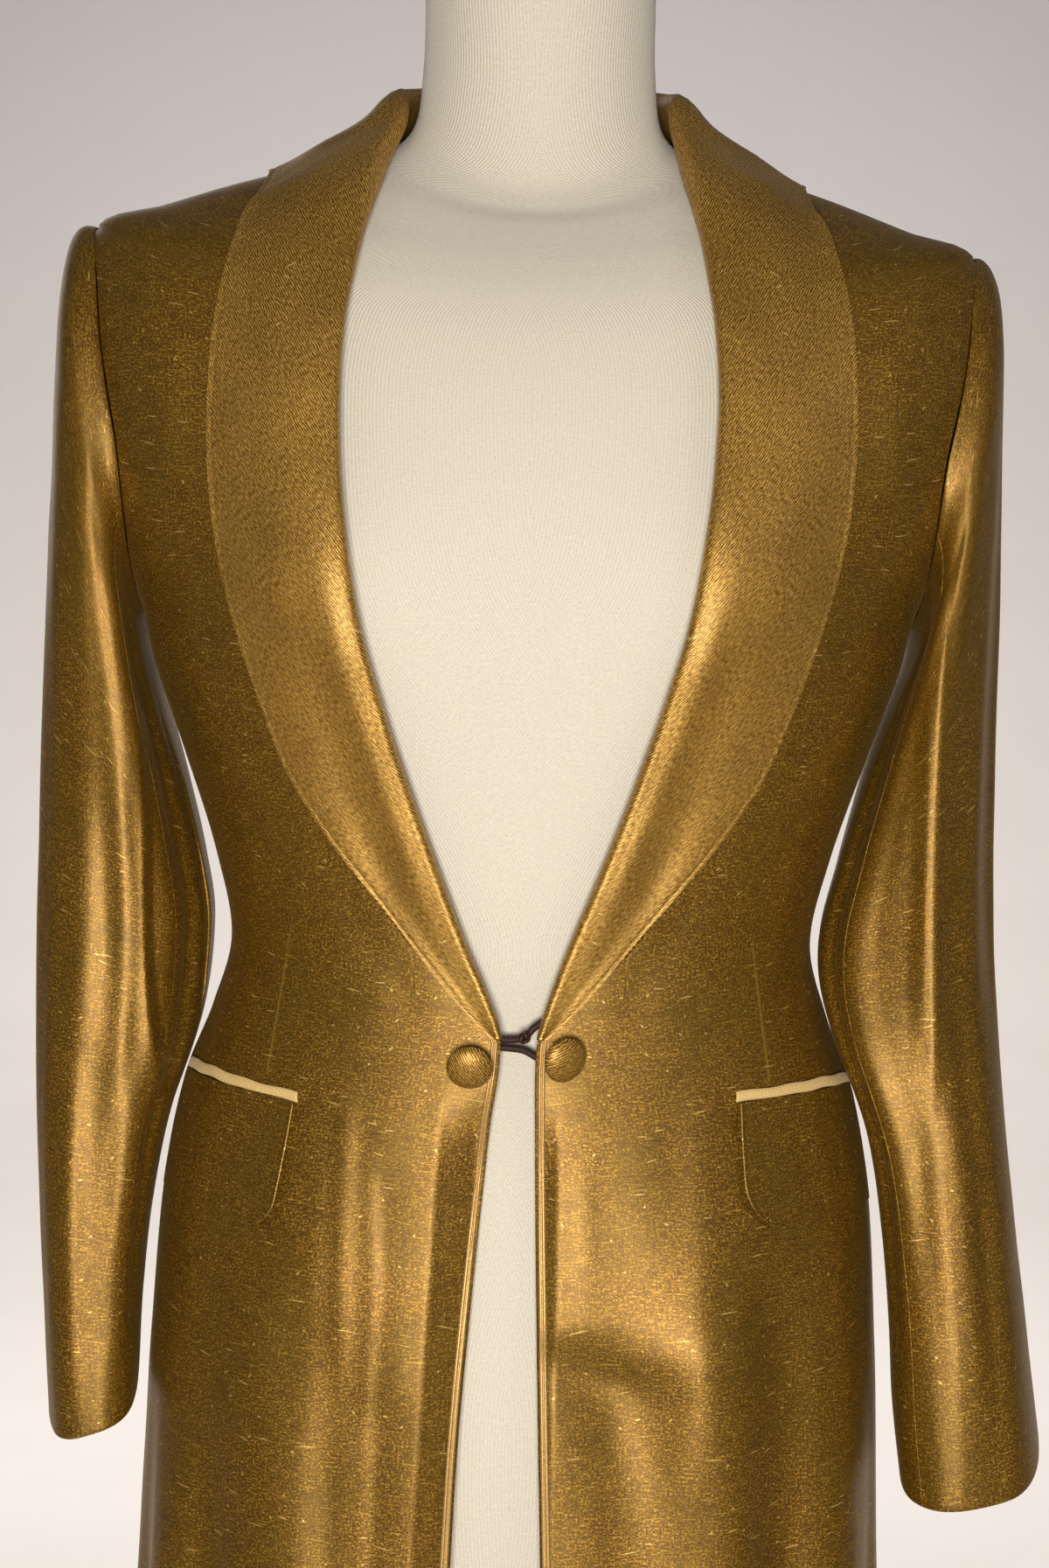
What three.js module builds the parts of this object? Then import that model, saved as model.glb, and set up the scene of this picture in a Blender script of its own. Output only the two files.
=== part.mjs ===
// A link-fronted day coat with a shawl collar, worn by a limbless dress form on a pole and a round base.
// Millimetres, +Z up. The coat's front faces -Y and +X is the wearer's left.
// The origin lies on the floor, on the pole's axis. Every cloth piece is a thin wall with its own cut edges.

import * as THREE from "three";

const { clamp, degToRad, lerp } = THREE.MathUtils;

// Driving dimensions

const cloth = { body: 2, sleeve: 1.8, collar: 2.2, flap: 2, jet: 1.4, piping: 1.2 };
const seamGap = 0.3; // left between two pieces that are sewn together
const armholeGap = 0.6; // the sleeve head stands this far off the cut armhole
const layGap = 0.6; // under what lies on a panel
const collarGap = 1.1; // under the collar where it lies on the front and the shoulder
const buttonLevel = 1034; // height of the link fastening
const rollShift = { left: 0, right: 3 }; // the right front hangs a little wider open
const shoulderDrop = { left: 6, right: 0 }; // the left shoulder hangs a little lower
const base = { radius: 178, rim: 7, rise: 13, bossRadius: 27, bossTop: 26 };
const pole = { radius: 15 };

// Height at which each of the coat's rings passes the front, the side and the back, then its half width,
// its reach to the front and to the back, its squareness, and how many rows of cloth lie above it.
const coatRings = [
  { name: "hem", zFront: 530, zSide: 530, zBack: 530, half: 189, front: 146, back: 152, square: 2.15, rows: 2 },
  { name: "knee", zFront: 650, zSide: 650, zBack: 650, half: 179, front: 134, back: 143, square: 2.15, rows: 2 },
  { name: "thigh", zFront: 770, zSide: 770, zBack: 770, half: 171, front: 124, back: 134, square: 2.2, rows: 2 },
  { name: "seat", zFront: 870, zSide: 870, zBack: 870, half: 167, front: 117, back: 125, square: 2.2, rows: 2 },
  { name: "hip", zFront: 948, zSide: 948, zBack: 948, half: 162, front: 112, back: 112, square: 2.2, rows: 2 },
  { name: "flap", zFront: 1000, zSide: 1000, zBack: 1000, half: 153, front: 107, back: 97, square: 2.2, rows: 2 },
  { name: "fastening", zFront: 1035, zSide: 1035, zBack: 1035, half: 140, front: 102, back: 86, square: 2.2, rows: 2 },
  { name: "waist", zFront: 1068, zSide: 1068, zBack: 1068, half: 132, front: 99, back: 79, square: 2.2, rows: 1 },
  { name: "rib", zFront: 1107, zSide: 1107, zBack: 1107, half: 140, front: 101, back: 80, square: 2.25, rows: 1 },
  { name: "underbust", zFront: 1152, zSide: 1152, zBack: 1152, half: 155, front: 106, back: 87, square: 2.3, rows: 2 },
  { name: "bust", zFront: 1196, zSide: 1190, zBack: 1192, half: 168, front: 109, back: 94, square: 2.4, rows: 2 },
  { name: "armpit", zFront: 1226, zSide: 1215, zBack: 1222, half: 174, front: 109, back: 98, square: 2.5, rows: 2 },
  { name: "chest", zFront: 1262, zSide: 1258, zBack: 1264, half: 190, front: 106, back: 102, square: 2.65, rows: 2 },
  { name: "blade", zFront: 1300, zSide: 1308, zBack: 1310, half: 201, front: 100, back: 103, square: 2.8, rows: 2 },
  { name: "collarbone", zFront: 1330, zSide: 1350, zBack: 1350, half: 203, front: 92, back: 99, square: 2.8, rows: 2 },
  { name: "tip", zFront: 1352, zSide: 1384, zBack: 1378, half: 196, front: 83, back: 91, square: 2.7, rows: 2 },
  { name: "shoulder", zFront: 1367, zSide: 1393.5, zBack: 1394, half: 168, front: 76, back: 84, square: 2.5, rows: 2 },
  { name: "yoke", zFront: 1379, zSide: 1403.5, zBack: 1408, half: 138, front: 70, back: 78, square: 2.3, rows: 1 },
  { name: "slope", zFront: 1388, zSide: 1412, zBack: 1420, half: 108, front: 64, back: 72, square: 2.15, rows: 1 },
  { name: "nape", zFront: 1394, zSide: 1420, zBack: 1430, half: 84, front: 58, back: 66, square: 2.05, rows: 1 },
  { name: "neck", zFront: 1400, zSide: 1430, zBack: 1438, half: 66, front: 52, back: 60, square: 2, rows: 1 },
  { name: "stand", zFront: 1412, zSide: 1438.5, zBack: 1451, half: 62, front: 48, back: 61, square: 2, rows: 1 },
  { name: "roll", zFront: 1424, zSide: 1447, zBack: 1463, half: 61, front: 46, back: 63, square: 2, rows: 1 },
];

// The dress form's rings, in the same columns. It is clear of the coat but for the shoulders, which carry it.
const formRings = [
  { name: "under", zFront: 736, zSide: 736, zBack: 736, half: 118, front: 74, back: 82, square: 2.1, rows: 1 },
  { name: "turn", zFront: 744, zSide: 744, zBack: 744, half: 141, front: 92, back: 101, square: 2.15, rows: 1 },
  { name: "thigh", zFront: 768, zSide: 768, zBack: 768, half: 152, front: 100, back: 110, square: 2.15, rows: 1 },
  { name: "seat", zFront: 870, zSide: 870, zBack: 870, half: 155, front: 103, back: 113, square: 2.15, rows: 1 },
  { name: "hip", zFront: 950, zSide: 950, zBack: 950, half: 150, front: 98, back: 100, square: 2.15, rows: 1 },
  { name: "flap", zFront: 1000, zSide: 1000, zBack: 1000, half: 140, front: 92, back: 85, square: 2.1, rows: 1 },
  { name: "fastening", zFront: 1035, zSide: 1035, zBack: 1035, half: 128, front: 87, back: 75, square: 2.1, rows: 1 },
  { name: "waist", zFront: 1068, zSide: 1068, zBack: 1068, half: 121, front: 85, back: 69, square: 2.1, rows: 1 },
  { name: "rib", zFront: 1107, zSide: 1107, zBack: 1107, half: 128, front: 88, back: 70, square: 2.1, rows: 1 },
  { name: "underbust", zFront: 1152, zSide: 1152, zBack: 1152, half: 139, front: 92, back: 77, square: 2.15, rows: 1 },
  { name: "bust", zFront: 1196, zSide: 1190, zBack: 1192, half: 149, front: 95, back: 84, square: 2.25, rows: 1 },
  { name: "armpit", zFront: 1226, zSide: 1215, zBack: 1222, half: 154, front: 96, back: 88, square: 2.35, rows: 1 },
  { name: "chest", zFront: 1262, zSide: 1258, zBack: 1264, half: 159, front: 94, back: 91, square: 2.45, rows: 2 },
  { name: "blade", zFront: 1300, zSide: 1308, zBack: 1310, half: 164, front: 88, back: 92, square: 2.5, rows: 1 },
  { name: "collarbone", zFront: 1330, zSide: 1348, zBack: 1346, half: 167, front: 80, back: 88, square: 2.5, rows: 1 },
  { name: "tip", zFront: 1350, zSide: 1378, zBack: 1372, half: 165, front: 72, back: 80, square: 2.5, rows: 1 },
  { name: "shoulder", zFront: 1364, zSide: 1397, zBack: 1390, half: 148, front: 65, back: 73, square: 2.4, rows: 1 },
  { name: "yoke", zFront: 1374, zSide: 1405.4, zBack: 1403, half: 122, front: 60, back: 68, square: 2.2, rows: 1 },
  { name: "slope", zFront: 1383, zSide: 1413, zBack: 1414, half: 96, front: 55, back: 62, square: 2.1, rows: 1 },
  { name: "nape", zFront: 1391, zSide: 1420, zBack: 1426, half: 71, front: 50, back: 55, square: 2, rows: 1 },
  { name: "neck", zFront: 1406, zSide: 1432, zBack: 1442, half: 56, front: 46, back: 52, square: 2, rows: 1 },
  { name: "throat", zFront: 1440, zSide: 1460, zBack: 1466, half: 52, front: 46, back: 51, square: 2, rows: 1 },
  { name: "top", zFront: 1498, zSide: 1502, zBack: 1504, half: 51, front: 51, back: 54, square: 2, rows: 1 },
  { name: "bevel", zFront: 1506, zSide: 1509, zBack: 1511, half: 44, front: 44, back: 47, square: 2, rows: 1 },
];

const bust = { x: 84, z: 1222, height: 13, width: 46, tall: 62 };

// Front edges below the fastening, as distances from the middle, for the wearer's left and right.
const frontEdge = [
  { z: 520, left: 20, right: 31 },
  { z: 700, left: 16, right: 27 },
  { z: 812, left: 13, right: 24.5 },
  { z: 870, left: 11, right: 22 },
  { z: 940, left: 9, right: 17 },
  { z: 996, left: 7.5, right: 12 },
  { z: 1020, left: 7, right: 8.5 },
  { z: 1036, left: 7.5, right: 7.5 },
];

// The shawl collar seen from the front: the roll line, which opens the coat in a V, and the outer edge.
const lapel = [
  { z: 1042, roll: 9, edge: 20 },
  { z: 1050, roll: 11.5, edge: 27 },
  { z: 1066, roll: 17, edge: 40.5 },
  { z: 1095, roll: 28.5, edge: 64 },
  { z: 1138, roll: 44.5, edge: 95.5 },
  { z: 1177, roll: 57.5, edge: 112 },
  { z: 1207, roll: 66, edge: 122 },
  { z: 1238, roll: 72, edge: 130.5 },
  { z: 1267, roll: 75.5, edge: 135 },
  { z: 1295, roll: 77.5, edge: 136.5 },
  { z: 1322, roll: 77.5, edge: 136 },
  { z: 1350, roll: 75, edge: 133.5 },
  { z: 1375, roll: 70, edge: 127 },
  { z: 1398, roll: 63.5, edge: 116 },
  { z: 1420, roll: 59, edge: 104 },
  { z: 1445, roll: 57, edge: 96 },
];

// Distance of the armhole from the middle, by height.
const armhole = [
  { z: 1190, x: 174 },
  { z: 1215, x: 174 },
  { z: 1230, x: 176 },
  { z: 1257, x: 177.5 },
  { z: 1286, x: 180 },
  { z: 1310, x: 184.5 },
  { z: 1330, x: 188 },
  { z: 1350, x: 190.5 },
  { z: 1370, x: 193 },
  { z: 1384, x: 196 },
  { z: 1400, x: 197 },
];

// Soft folds of the skirt. Angles run from the front middle round to the back middle, in degrees.
const foldTop = 1012;
const folds = [
  { side: "left", waist: 26, hem: 22, width: 13, height: 4.5, start: 1010 },
  { side: "left", waist: 40, hem: 38, width: 9, height: -4, start: 1000 },
  { side: "left", waist: 52, hem: 52, width: 11, height: 5, start: 950 },
  { side: "left", waist: 68, hem: 68, width: 8, height: -4, start: 900 },
  { side: "right", waist: 33, hem: 30, width: 9, height: 5, start: 1012 },
  { side: "right", waist: 22, hem: 19, width: 8, height: -4, start: 1005 },
  { side: "right", waist: 47, hem: 45, width: 9, height: -3.5, start: 960 },
  { side: "right", waist: 57, hem: 56, width: 11, height: 5, start: 930 },
  { side: "right", waist: 70, hem: 70, width: 8, height: -4, start: 900 },
  { side: "both", waist: 84, hem: 82, width: 10, height: 4, start: 780 },
  { side: "both", waist: 100, hem: 98, width: 10, height: -5, start: 860 },
  { side: "both", waist: 117, hem: 114, width: 12, height: 8, start: 980 },
  { side: "both", waist: 134, hem: 134, width: 11, height: -8, start: 970 },
  { side: "both", waist: 150, hem: 151, width: 12, height: 8, start: 985 },
  { side: "both", waist: 167, hem: 168, width: 10, height: -6, start: 960 },
];

// Seams that part the front, the side body and the back, as angles by height.
const seams = [
  { z: 520, side: 79, back: 131 },
  { z: 1068, side: 80, back: 133 },
  { z: 1180, side: 80, back: 126 },
  { z: 1260, side: 80, back: 112 },
];

// Sleeve rings: the outermost and the innermost point, how far the ring reaches to the front and the back,
// how much lower its front is than its middle, and how far its front leans in and its back out.
const sleeveRings = {
  left: [
    { outX: 199.5, outZ: 1380.5, inX: 174.8, inZ: 1212.6, front: 62, back: 63, dip: 0, lean: 0, rows: 1 },
    { outX: 203, outZ: 1379, inX: 175, inZ: 1210, front: 62, back: 64, dip: 0, lean: 0, rows: 1 },
    { outX: 207, outZ: 1373, inX: 174.8, inZ: 1206, front: 63, back: 65, dip: 0, lean: 0, rows: 1 },
    { outX: 210, outZ: 1361, inX: 173.8, inZ: 1200.5, front: 64, back: 66, dip: 0, lean: 0, rows: 1 },
    { outX: 211.5, outZ: 1340, inX: 172, inZ: 1192.5, front: 64, back: 66, dip: 0, lean: 0, rows: 1 },
    { outX: 212.5, outZ: 1308, inX: 168, inZ: 1181, front: 64, back: 66, dip: 0, lean: 1, rows: 1 },
    { outX: 213.5, outZ: 1266, inX: 161, inZ: 1162, front: 64, back: 65, dip: 0, lean: 2, rows: 2 },
    { outX: 214.5, outZ: 1213, inX: 152, inZ: 1134, front: 64, back: 63, dip: 1, lean: 4, rows: 2 },
    { outX: 214.5, outZ: 1153, inX: 143.5, inZ: 1102, front: 64, back: 60, dip: 2, lean: 6, rows: 2 },
    { outX: 215, outZ: 1094, inX: 139, inZ: 1071, front: 65, back: 56, dip: 4, lean: 7, rows: 2 },
    { outX: 217.5, outZ: 1040, inX: 146, inZ: 1037, front: 68, back: 49, dip: 6, lean: 8, rows: 2 },
    { outX: 221.5, outZ: 990, inX: 163, inZ: 990, front: 72, back: 42, dip: 8, lean: 7, rows: 2 },
    { outX: 226.5, outZ: 943, inX: 171, inZ: 943, front: 76, back: 34, dip: 10, lean: 7, rows: 2 },
    { outX: 232, outZ: 898, inX: 175, inZ: 896, front: 81, back: 25, dip: 11, lean: 7, rows: 2 },
    { outX: 238.5, outZ: 848, inX: 178, inZ: 839, front: 85, back: 17, dip: 12, lean: 8, rows: 1 },
  ],
  right: [
    { outX: 201.5, outZ: 1386.5, inX: 174.8, inZ: 1212.6, front: 62, back: 63, dip: 0, lean: 0, rows: 1 },
    { outX: 206.5, outZ: 1386, inX: 175, inZ: 1210, front: 62, back: 64, dip: 0, lean: 0, rows: 1 },
    { outX: 210, outZ: 1380, inX: 174.8, inZ: 1206, front: 63, back: 65, dip: 0, lean: 0, rows: 1 },
    { outX: 212, outZ: 1366, inX: 173.8, inZ: 1200.5, front: 64, back: 66, dip: 0, lean: 0, rows: 1 },
    { outX: 213.5, outZ: 1343, inX: 172, inZ: 1192.5, front: 64, back: 66, dip: 0, lean: 0, rows: 1 },
    { outX: 215, outZ: 1310, inX: 168.8, inZ: 1181, front: 64, back: 66, dip: 0, lean: 0, rows: 1 },
    { outX: 216, outZ: 1267, inX: 163.5, inZ: 1162, front: 63, back: 66, dip: 0, lean: 0, rows: 2 },
    { outX: 217, outZ: 1213, inX: 154.5, inZ: 1134, front: 62, back: 65, dip: 0, lean: 0, rows: 2 },
    { outX: 217.5, outZ: 1154, inX: 146, inZ: 1102, front: 61, back: 63, dip: 1, lean: 0, rows: 2 },
    { outX: 217.5, outZ: 1096, inX: 141, inZ: 1071, front: 61, back: 60, dip: 3, lean: 0, rows: 2 },
    { outX: 217, outZ: 1043, inX: 146.5, inZ: 1035, front: 63, back: 56, dip: 5, lean: 0, rows: 2 },
    { outX: 216, outZ: 992, inX: 163, inZ: 987, front: 66, back: 51, dip: 7, lean: 2, rows: 2 },
    { outX: 214.5, outZ: 947, inX: 171, inZ: 943, front: 69, back: 45, dip: 9, lean: 4, rows: 2 },
    { outX: 213, outZ: 904, inX: 174, inZ: 904, front: 71, back: 41, dip: 10, lean: 6, rows: 2 },
    { outX: 211.5, outZ: 857, inX: 175, inZ: 869, front: 73, back: 37, dip: 11, lean: 8, rows: 1 },
  ],
};

// Long soft creases of the sleeves: where round the sleeve, how wide, how high, and over which heights.
const sleeveSquare = 2.25;
const creases = [
  { side: "both", at: 118, width: 17, height: 3.5, low: 870, high: 1330 },
  { side: "both", at: 141, width: 12, height: -6, low: 880, high: 1260 },
  { side: "both", at: 66, width: 20, height: -3, low: 850, high: 1300 },
  { side: "right", at: 28, width: 18, height: 2.5, low: 850, high: 1280 },
  { side: "left", at: 30, width: 18, height: -2.5, low: 1010, high: 1300 },
  { side: "left", at: 84, width: 18, height: 3, low: 800, high: 1090 },
  { side: "both", at: 262, width: 16, height: -4, low: 860, high: 1200 },
  { side: "both", at: 300, width: 20, height: 3, low: 860, high: 1260 },
];
const sleeveSeams = { front: 124, back: 238 };
const sleeveColumns = { top: 11, under: 7 };

// Pocket flaps, by their inner end, the angle of their outer end, and the level of the jet above them.
const pocket = { inner: 93, outerAngle: 77.5, jetTop: 1011, jetHeight: 4.2, flapHeight: 52, rounding: 13, lift: 2 };

const buttons = {
  left: { x: 19, z: 1029, leanSide: 16, leanUp: 18 },
  right: { x: 20.5, z: 1028, leanSide: -4, leanUp: 8 },
};
const buttonProfile = [
  [0, 0], [2.6, 0], [2.6, 3.4], [8.8, 3.7], [9.9, 4.9], [9.6, 6.2], [7.4, 7.9], [4, 8.8], [0, 9.1],
];
const link = { radius: 1.6, behind: 1.9, reach: 12, knot: 2.9 };

// Tables and curves

// The value of a column where the table's key column has the given value, on a smooth curve through the rows.
function readTable(table, key, column, at) {
  const last = table.length - 1;
  let i = 0;
  while (i < last - 1 && table[i + 1][key] < at) i++;
  const slope = (k) => {
    const a = table[Math.max(k - 1, 0)];
    const b = table[Math.min(k + 1, last)];
    return (b[column] - a[column]) / (b[key] - a[key]);
  };
  const low = table[i];
  const high = table[i + 1];
  const span = high[key] - low[key];
  const s = clamp((at - low[key]) / span, 0, 1);
  const rise = high[column] - low[column];
  const bendLow = s * (1 - s) * (1 - s) * (slope(i) * span - rise);
  const bendHigh = -s * s * (1 - s) * (slope(i + 1) * span - rise);
  return low[column] + s * rise + bendLow + bendHigh;
}

const numbered = (rings) => rings.map((ring, level) => ({ ...ring, level }));
const coat = numbered(coatRings);
const form = numbered(formRings);
const levelOf = Object.fromEntries(coat.map((ring) => [ring.name, ring.level]));

// The levels of the rows of cloth between two rings.
function rowLevels(rings, from, to) {
  const levels = [];
  rings.slice(from, to).forEach((ring, k) => {
    for (let row = 0; row < ring.rows; row++) levels.push(from + k + row / ring.rows);
  });
  return [...levels, to];
}

// Where a rising function crosses zero between two bounds.
function crossing(rises, low, high) {
  let a = low;
  let b = high;
  for (let step = 0; step < 40; step++) {
    const middle = (a + b) / 2;
    if (rises(middle) > 0) b = middle;
    else a = middle;
  }
  return (a + b) / 2;
}

const hill = (distance, width) => (Math.abs(distance) < width ? Math.cos((Math.PI / 2) * (distance / width)) ** 2 : 0);

// The body's surface

// How much lower a point of the surface hangs towards the tip of a dropped shoulder.
function droop(side, x, z) {
  return shoulderDrop[side] * THREE.MathUtils.smoothstep(x, 60, 196) * THREE.MathUtils.smoothstep(z, 1230, 1385);
}

// A point of the wearer's left half: t runs from 0 at the front middle to pi at the back middle.
function bodyPoint(rings, t, level) {
  const read = (column) => readTable(rings, "level", column, level);
  const power = 2 / read("square");
  const sine = Math.sin(t);
  const cosine = Math.cos(t);
  const inFront = cosine > 0;
  const x = read("half") * Math.sign(sine) * Math.abs(sine) ** power;
  const z = lerp(read(inFront ? "zFront" : "zBack"), read("zSide"), sine * sine);
  let y = (inFront ? -read("front") : read("back")) * Math.abs(cosine) ** power;
  if (inFront) {
    y -= bust.height * Math.exp(-(((x - bust.x) / bust.width) ** 2) - ((z - bust.z) / bust.tall) ** 2);
  }
  return new THREE.Vector3(x, y, z);
}

// How far the skirt's folds move the cloth out, at a plain point of the body.
function foldAt(side, t, plain) {
  const angle = t / degToRad(1);
  let out = 0;
  for (const fold of folds) {
    if ((fold.side !== side && fold.side !== "both") || plain.z > fold.start) continue;
    const down = clamp((foldTop - plain.z) / (foldTop - coat[0].zSide), 0, 1);
    const grown = clamp((fold.start - plain.z) / 160, 0, 1) ** 1.3 * lerp(0.7, 1.5, down);
    out += fold.height * grown * hill(angle - lerp(fold.waist, fold.hem, down), fold.width);
  }
  return out;
}

// The coat's outer surface with its folds.
function coatPoint(side, t, level) {
  const plain = bodyPoint(coat, t, level);
  const out = foldAt(side, t, plain);
  plain.z -= droop(side, plain.x, plain.z);
  if (out === 0) return plain;
  const ring = coat[clamp(Math.round(level), 0, coat.length - 1)];
  const reach = plain.y < 0 ? ring.front : ring.back;
  const away = new THREE.Vector3(plain.x / ring.half ** 2, plain.y / reach ** 2, 0).normalize();
  return plain.addScaledVector(away, out);
}

// The point and the outward direction of the coat at t and level, raised off the cloth's outer face.
function onCoat(side, t, level, raised = 0) {
  const step = 0.004;
  const alongT = coatPoint(side, t + step, level).sub(coatPoint(side, t - step, level));
  const up = Math.min(level + step, coat.length - 1);
  const down = Math.max(level - step, 0);
  const alongLevel = coatPoint(side, t, up).sub(coatPoint(side, t, down));
  const normal = alongT.cross(alongLevel).normalize();
  return { point: coatPoint(side, t, level).addScaledVector(normal, raised), normal, speed: alongT.length() };
}

// The angle, moved along the cloth by some millimetres.
function moved(side, t, level, millimetres) {
  const step = 0.01;
  const speed = coatPoint(side, t + step, level).distanceTo(coatPoint(side, t - step, level)) / (2 * step);
  return t + millimetres / speed;
}

// The angle at which a ring passes a given distance from the middle, which may depend on the height.
function frontAngle(distance, level, high = Math.PI / 2) {
  return crossing((t) => {
    const point = bodyPoint(coat, t, level);
    return point.x - distance(point.z);
  }, 0, high);
}

// The level and angle of the front that are seen at a given place from straight ahead.
function frontPlace(x, z) {
  const angle = (level) => frontAngle(() => x, level);
  const level = crossing((at) => bodyPoint(coat, angle(at), at).z - z, levelOf.hem, levelOf.roll - 0.01);
  return { t: angle(level), level };
}

// Cut edges of the panels

const rollAt = (side, z) => readTable(lapel, "z", "roll", z) + rollShift[side] * clamp((z - 1042) / 30, 0, 1);
const armholeAt = (z) => readTable(armhole, "z", "x", z);
const seamAngle = (which, level) =>
  degToRad(readTable(seams, "z", which, readTable(coat, "level", "zSide", level)));

// The inner edge of a front: the free edge up to the fastening, then the line under the collar's roll.
function frontInner(side, level) {
  const underRoll = cloth.collar + collarGap;
  return frontAngle((z) => {
    const open = z < buttonLevel ? readTable(frontEdge, "z", side, z) : rollAt(side, z);
    const besideNeck = 3.2 * clamp((z - 1370) / 26, 0, 1);
    return open + underRoll * clamp((z - buttonLevel) / 4, 0, 1) + besideNeck;
  }, level);
}

function armholeFront(level) {
  if (level <= levelOf.armpit || level >= levelOf.tip - 0.01) return Math.PI / 2;
  return frontAngle(armholeAt, level);
}

function armholeBack(level) {
  if (level <= levelOf.armpit || level >= levelOf.tip - 0.01) return Math.PI / 2;
  return crossing((t) => {
    const point = bodyPoint(coat, t, level);
    return armholeAt(point.z) - point.x;
  }, Math.PI / 2, Math.PI - 0.2);
}

// The level at which the armhole's lower half passes an angle.
function armholeFloor(t) {
  const top = levelOf.blade;
  if (t < Math.PI / 2) return crossing((level) => t - armholeFront(level), levelOf.armpit, top);
  return crossing((level) => armholeBack(level) - t, levelOf.armpit, top);
}

// Angles of the seam's meetings with the armhole, and the outer edges of the front and of the back.
const corner = {
  front: { t: degToRad(80), level: armholeFloor(degToRad(80)) },
  back: { t: degToRad(112), level: armholeFloor(degToRad(112)) },
};
const frontOuter = (level) => (level <= corner.front.level ? seamAngle("side", level) : armholeFront(level));
const backOuter = (level) => (level <= corner.back.level ? seamAngle("back", level) : armholeBack(level));

// The rows of a panel that has a corner between its side seam and its armhole.
function panelLevels(cornerLevel) {
  const levels = rowLevels(coat, levelOf.hem, levelOf.neck).filter((level) => Math.abs(level - cornerLevel) > 0.15);
  return [...levels, cornerLevel].sort((a, b) => a - b);
}

// Solids

// Turns the triangles round if they face inwards.
function solid(positions, index) {
  const vertex = (k) => new THREE.Vector3().fromArray(positions, index[k] * 3);
  let volume = 0;
  for (let k = 0; k < index.length; k += 3) volume += vertex(k).dot(vertex(k + 1).cross(vertex(k + 2)));
  if (volume < 0) {
    for (let k = 0; k < index.length; k += 3) [index[k + 1], index[k + 2]] = [index[k + 2], index[k + 1]];
  }
  const geometry = new THREE.BufferGeometry();
  geometry.setAttribute("position", new THREE.Float32BufferAttribute(positions, 3));
  geometry.setIndex(index);
  geometry.computeVertexNormals();
  return geometry;
}

// A closed wall over a grid of { point, normal }, from one offset along the normal to another.
function wall(grid, outer, inner) {
  const rows = grid.length;
  const columns = grid[0].length;
  const positions = [outer, inner].flatMap((offset) =>
    grid.flat().flatMap(({ point, normal }) => point.clone().addScaledVector(normal, offset).toArray()),
  );
  const at = (layer, i, j) => (layer * rows + i) * columns + j;
  const index = [];
  const quad = (a, b, c, d) => index.push(a, b, c, a, c, d);
  for (let i = 0; i < rows - 1; i++) {
    for (let j = 0; j < columns - 1; j++) {
      quad(at(0, i, j), at(0, i, j + 1), at(0, i + 1, j + 1), at(0, i + 1, j));
      quad(at(1, i, j), at(1, i + 1, j), at(1, i + 1, j + 1), at(1, i, j + 1));
    }
    quad(at(0, i, 0), at(0, i + 1, 0), at(1, i + 1, 0), at(1, i, 0));
    quad(at(0, i, columns - 1), at(1, i, columns - 1), at(1, i + 1, columns - 1), at(0, i + 1, columns - 1));
  }
  for (let j = 0; j < columns - 1; j++) {
    quad(at(0, 0, j), at(1, 0, j), at(1, 0, j + 1), at(0, 0, j + 1));
    quad(at(0, rows - 1, j), at(0, rows - 1, j + 1), at(1, rows - 1, j + 1), at(1, rows - 1, j));
  }
  return solid(positions, index);
}

// Directions square to a plain grid of points, for walls that have no surface function of their own.
function withNormals(points) {
  const rows = points.length;
  const columns = points[0].length;
  return points.map((row, i) =>
    row.map((point, j) => {
      const across = row[Math.min(j + 1, columns - 1)].clone().sub(row[Math.max(j - 1, 0)]);
      const along = points[Math.min(i + 1, rows - 1)][j].clone().sub(points[Math.max(i - 1, 0)][j]);
      return { point, normal: across.cross(along).normalize() };
    }),
  );
}

// A solid through closed loops of points, with a flat fan at each end.
function loft(loops) {
  const count = loops[0].length;
  const middle = (loop) => loop.reduce((sum, p) => sum.add(p), new THREE.Vector3()).divideScalar(count);
  const positions = [...loops.flat(), middle(loops[0]), middle(loops.at(-1))].flatMap((p) => p.toArray());
  const index = [];
  for (let j = 0; j < count; j++) {
    const next = (j + 1) % count;
    for (let i = 0; i < loops.length - 1; i++) {
      const low = i * count;
      const high = low + count;
      index.push(low + j, low + next, high + next, low + j, high + next, high + j);
    }
    const top = (loops.length - 1) * count;
    index.push(loops.length * count, next, j, loops.length * count + 1, top + j, top + next);
  }
  return solid(positions, index);
}

function tube(points, radius, steps) {
  const sides = 8;
  const section = new THREE.Shape();
  for (let k = 0; k < sides; k++) {
    const turn = (2 * Math.PI * k) / sides;
    section[k ? "lineTo" : "moveTo"](radius * Math.cos(turn), radius * Math.sin(turn));
  }
  section.closePath();
  return new THREE.ExtrudeGeometry(section, { steps, extrudePath: new THREE.CatmullRomCurve3(points) });
}

// Materials

const colour = (r, g, b, roughness, metalness = 0) =>
  new THREE.MeshStandardMaterial({ color: new THREE.Color(r, g, b), roughness, metalness });
const finish = {
  silk: colour(0.3, 0.19, 0.05, 0.45),
  collar: colour(0.4, 0.26, 0.08, 0.4),
  trim: colour(0.72, 0.53, 0.24, 0.4),
  cord: colour(0.05, 0.025, 0.02, 0.7),
  jersey: colour(0.8, 0.74, 0.64, 0.9),
  steel: colour(0.6, 0.6, 0.6, 0.35, 0.9),
  iron: colour(0.1, 0.1, 0.1, 0.5, 0.3),
};

const group = new THREE.Group();
const signOf = { left: 1, right: -1 };

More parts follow.
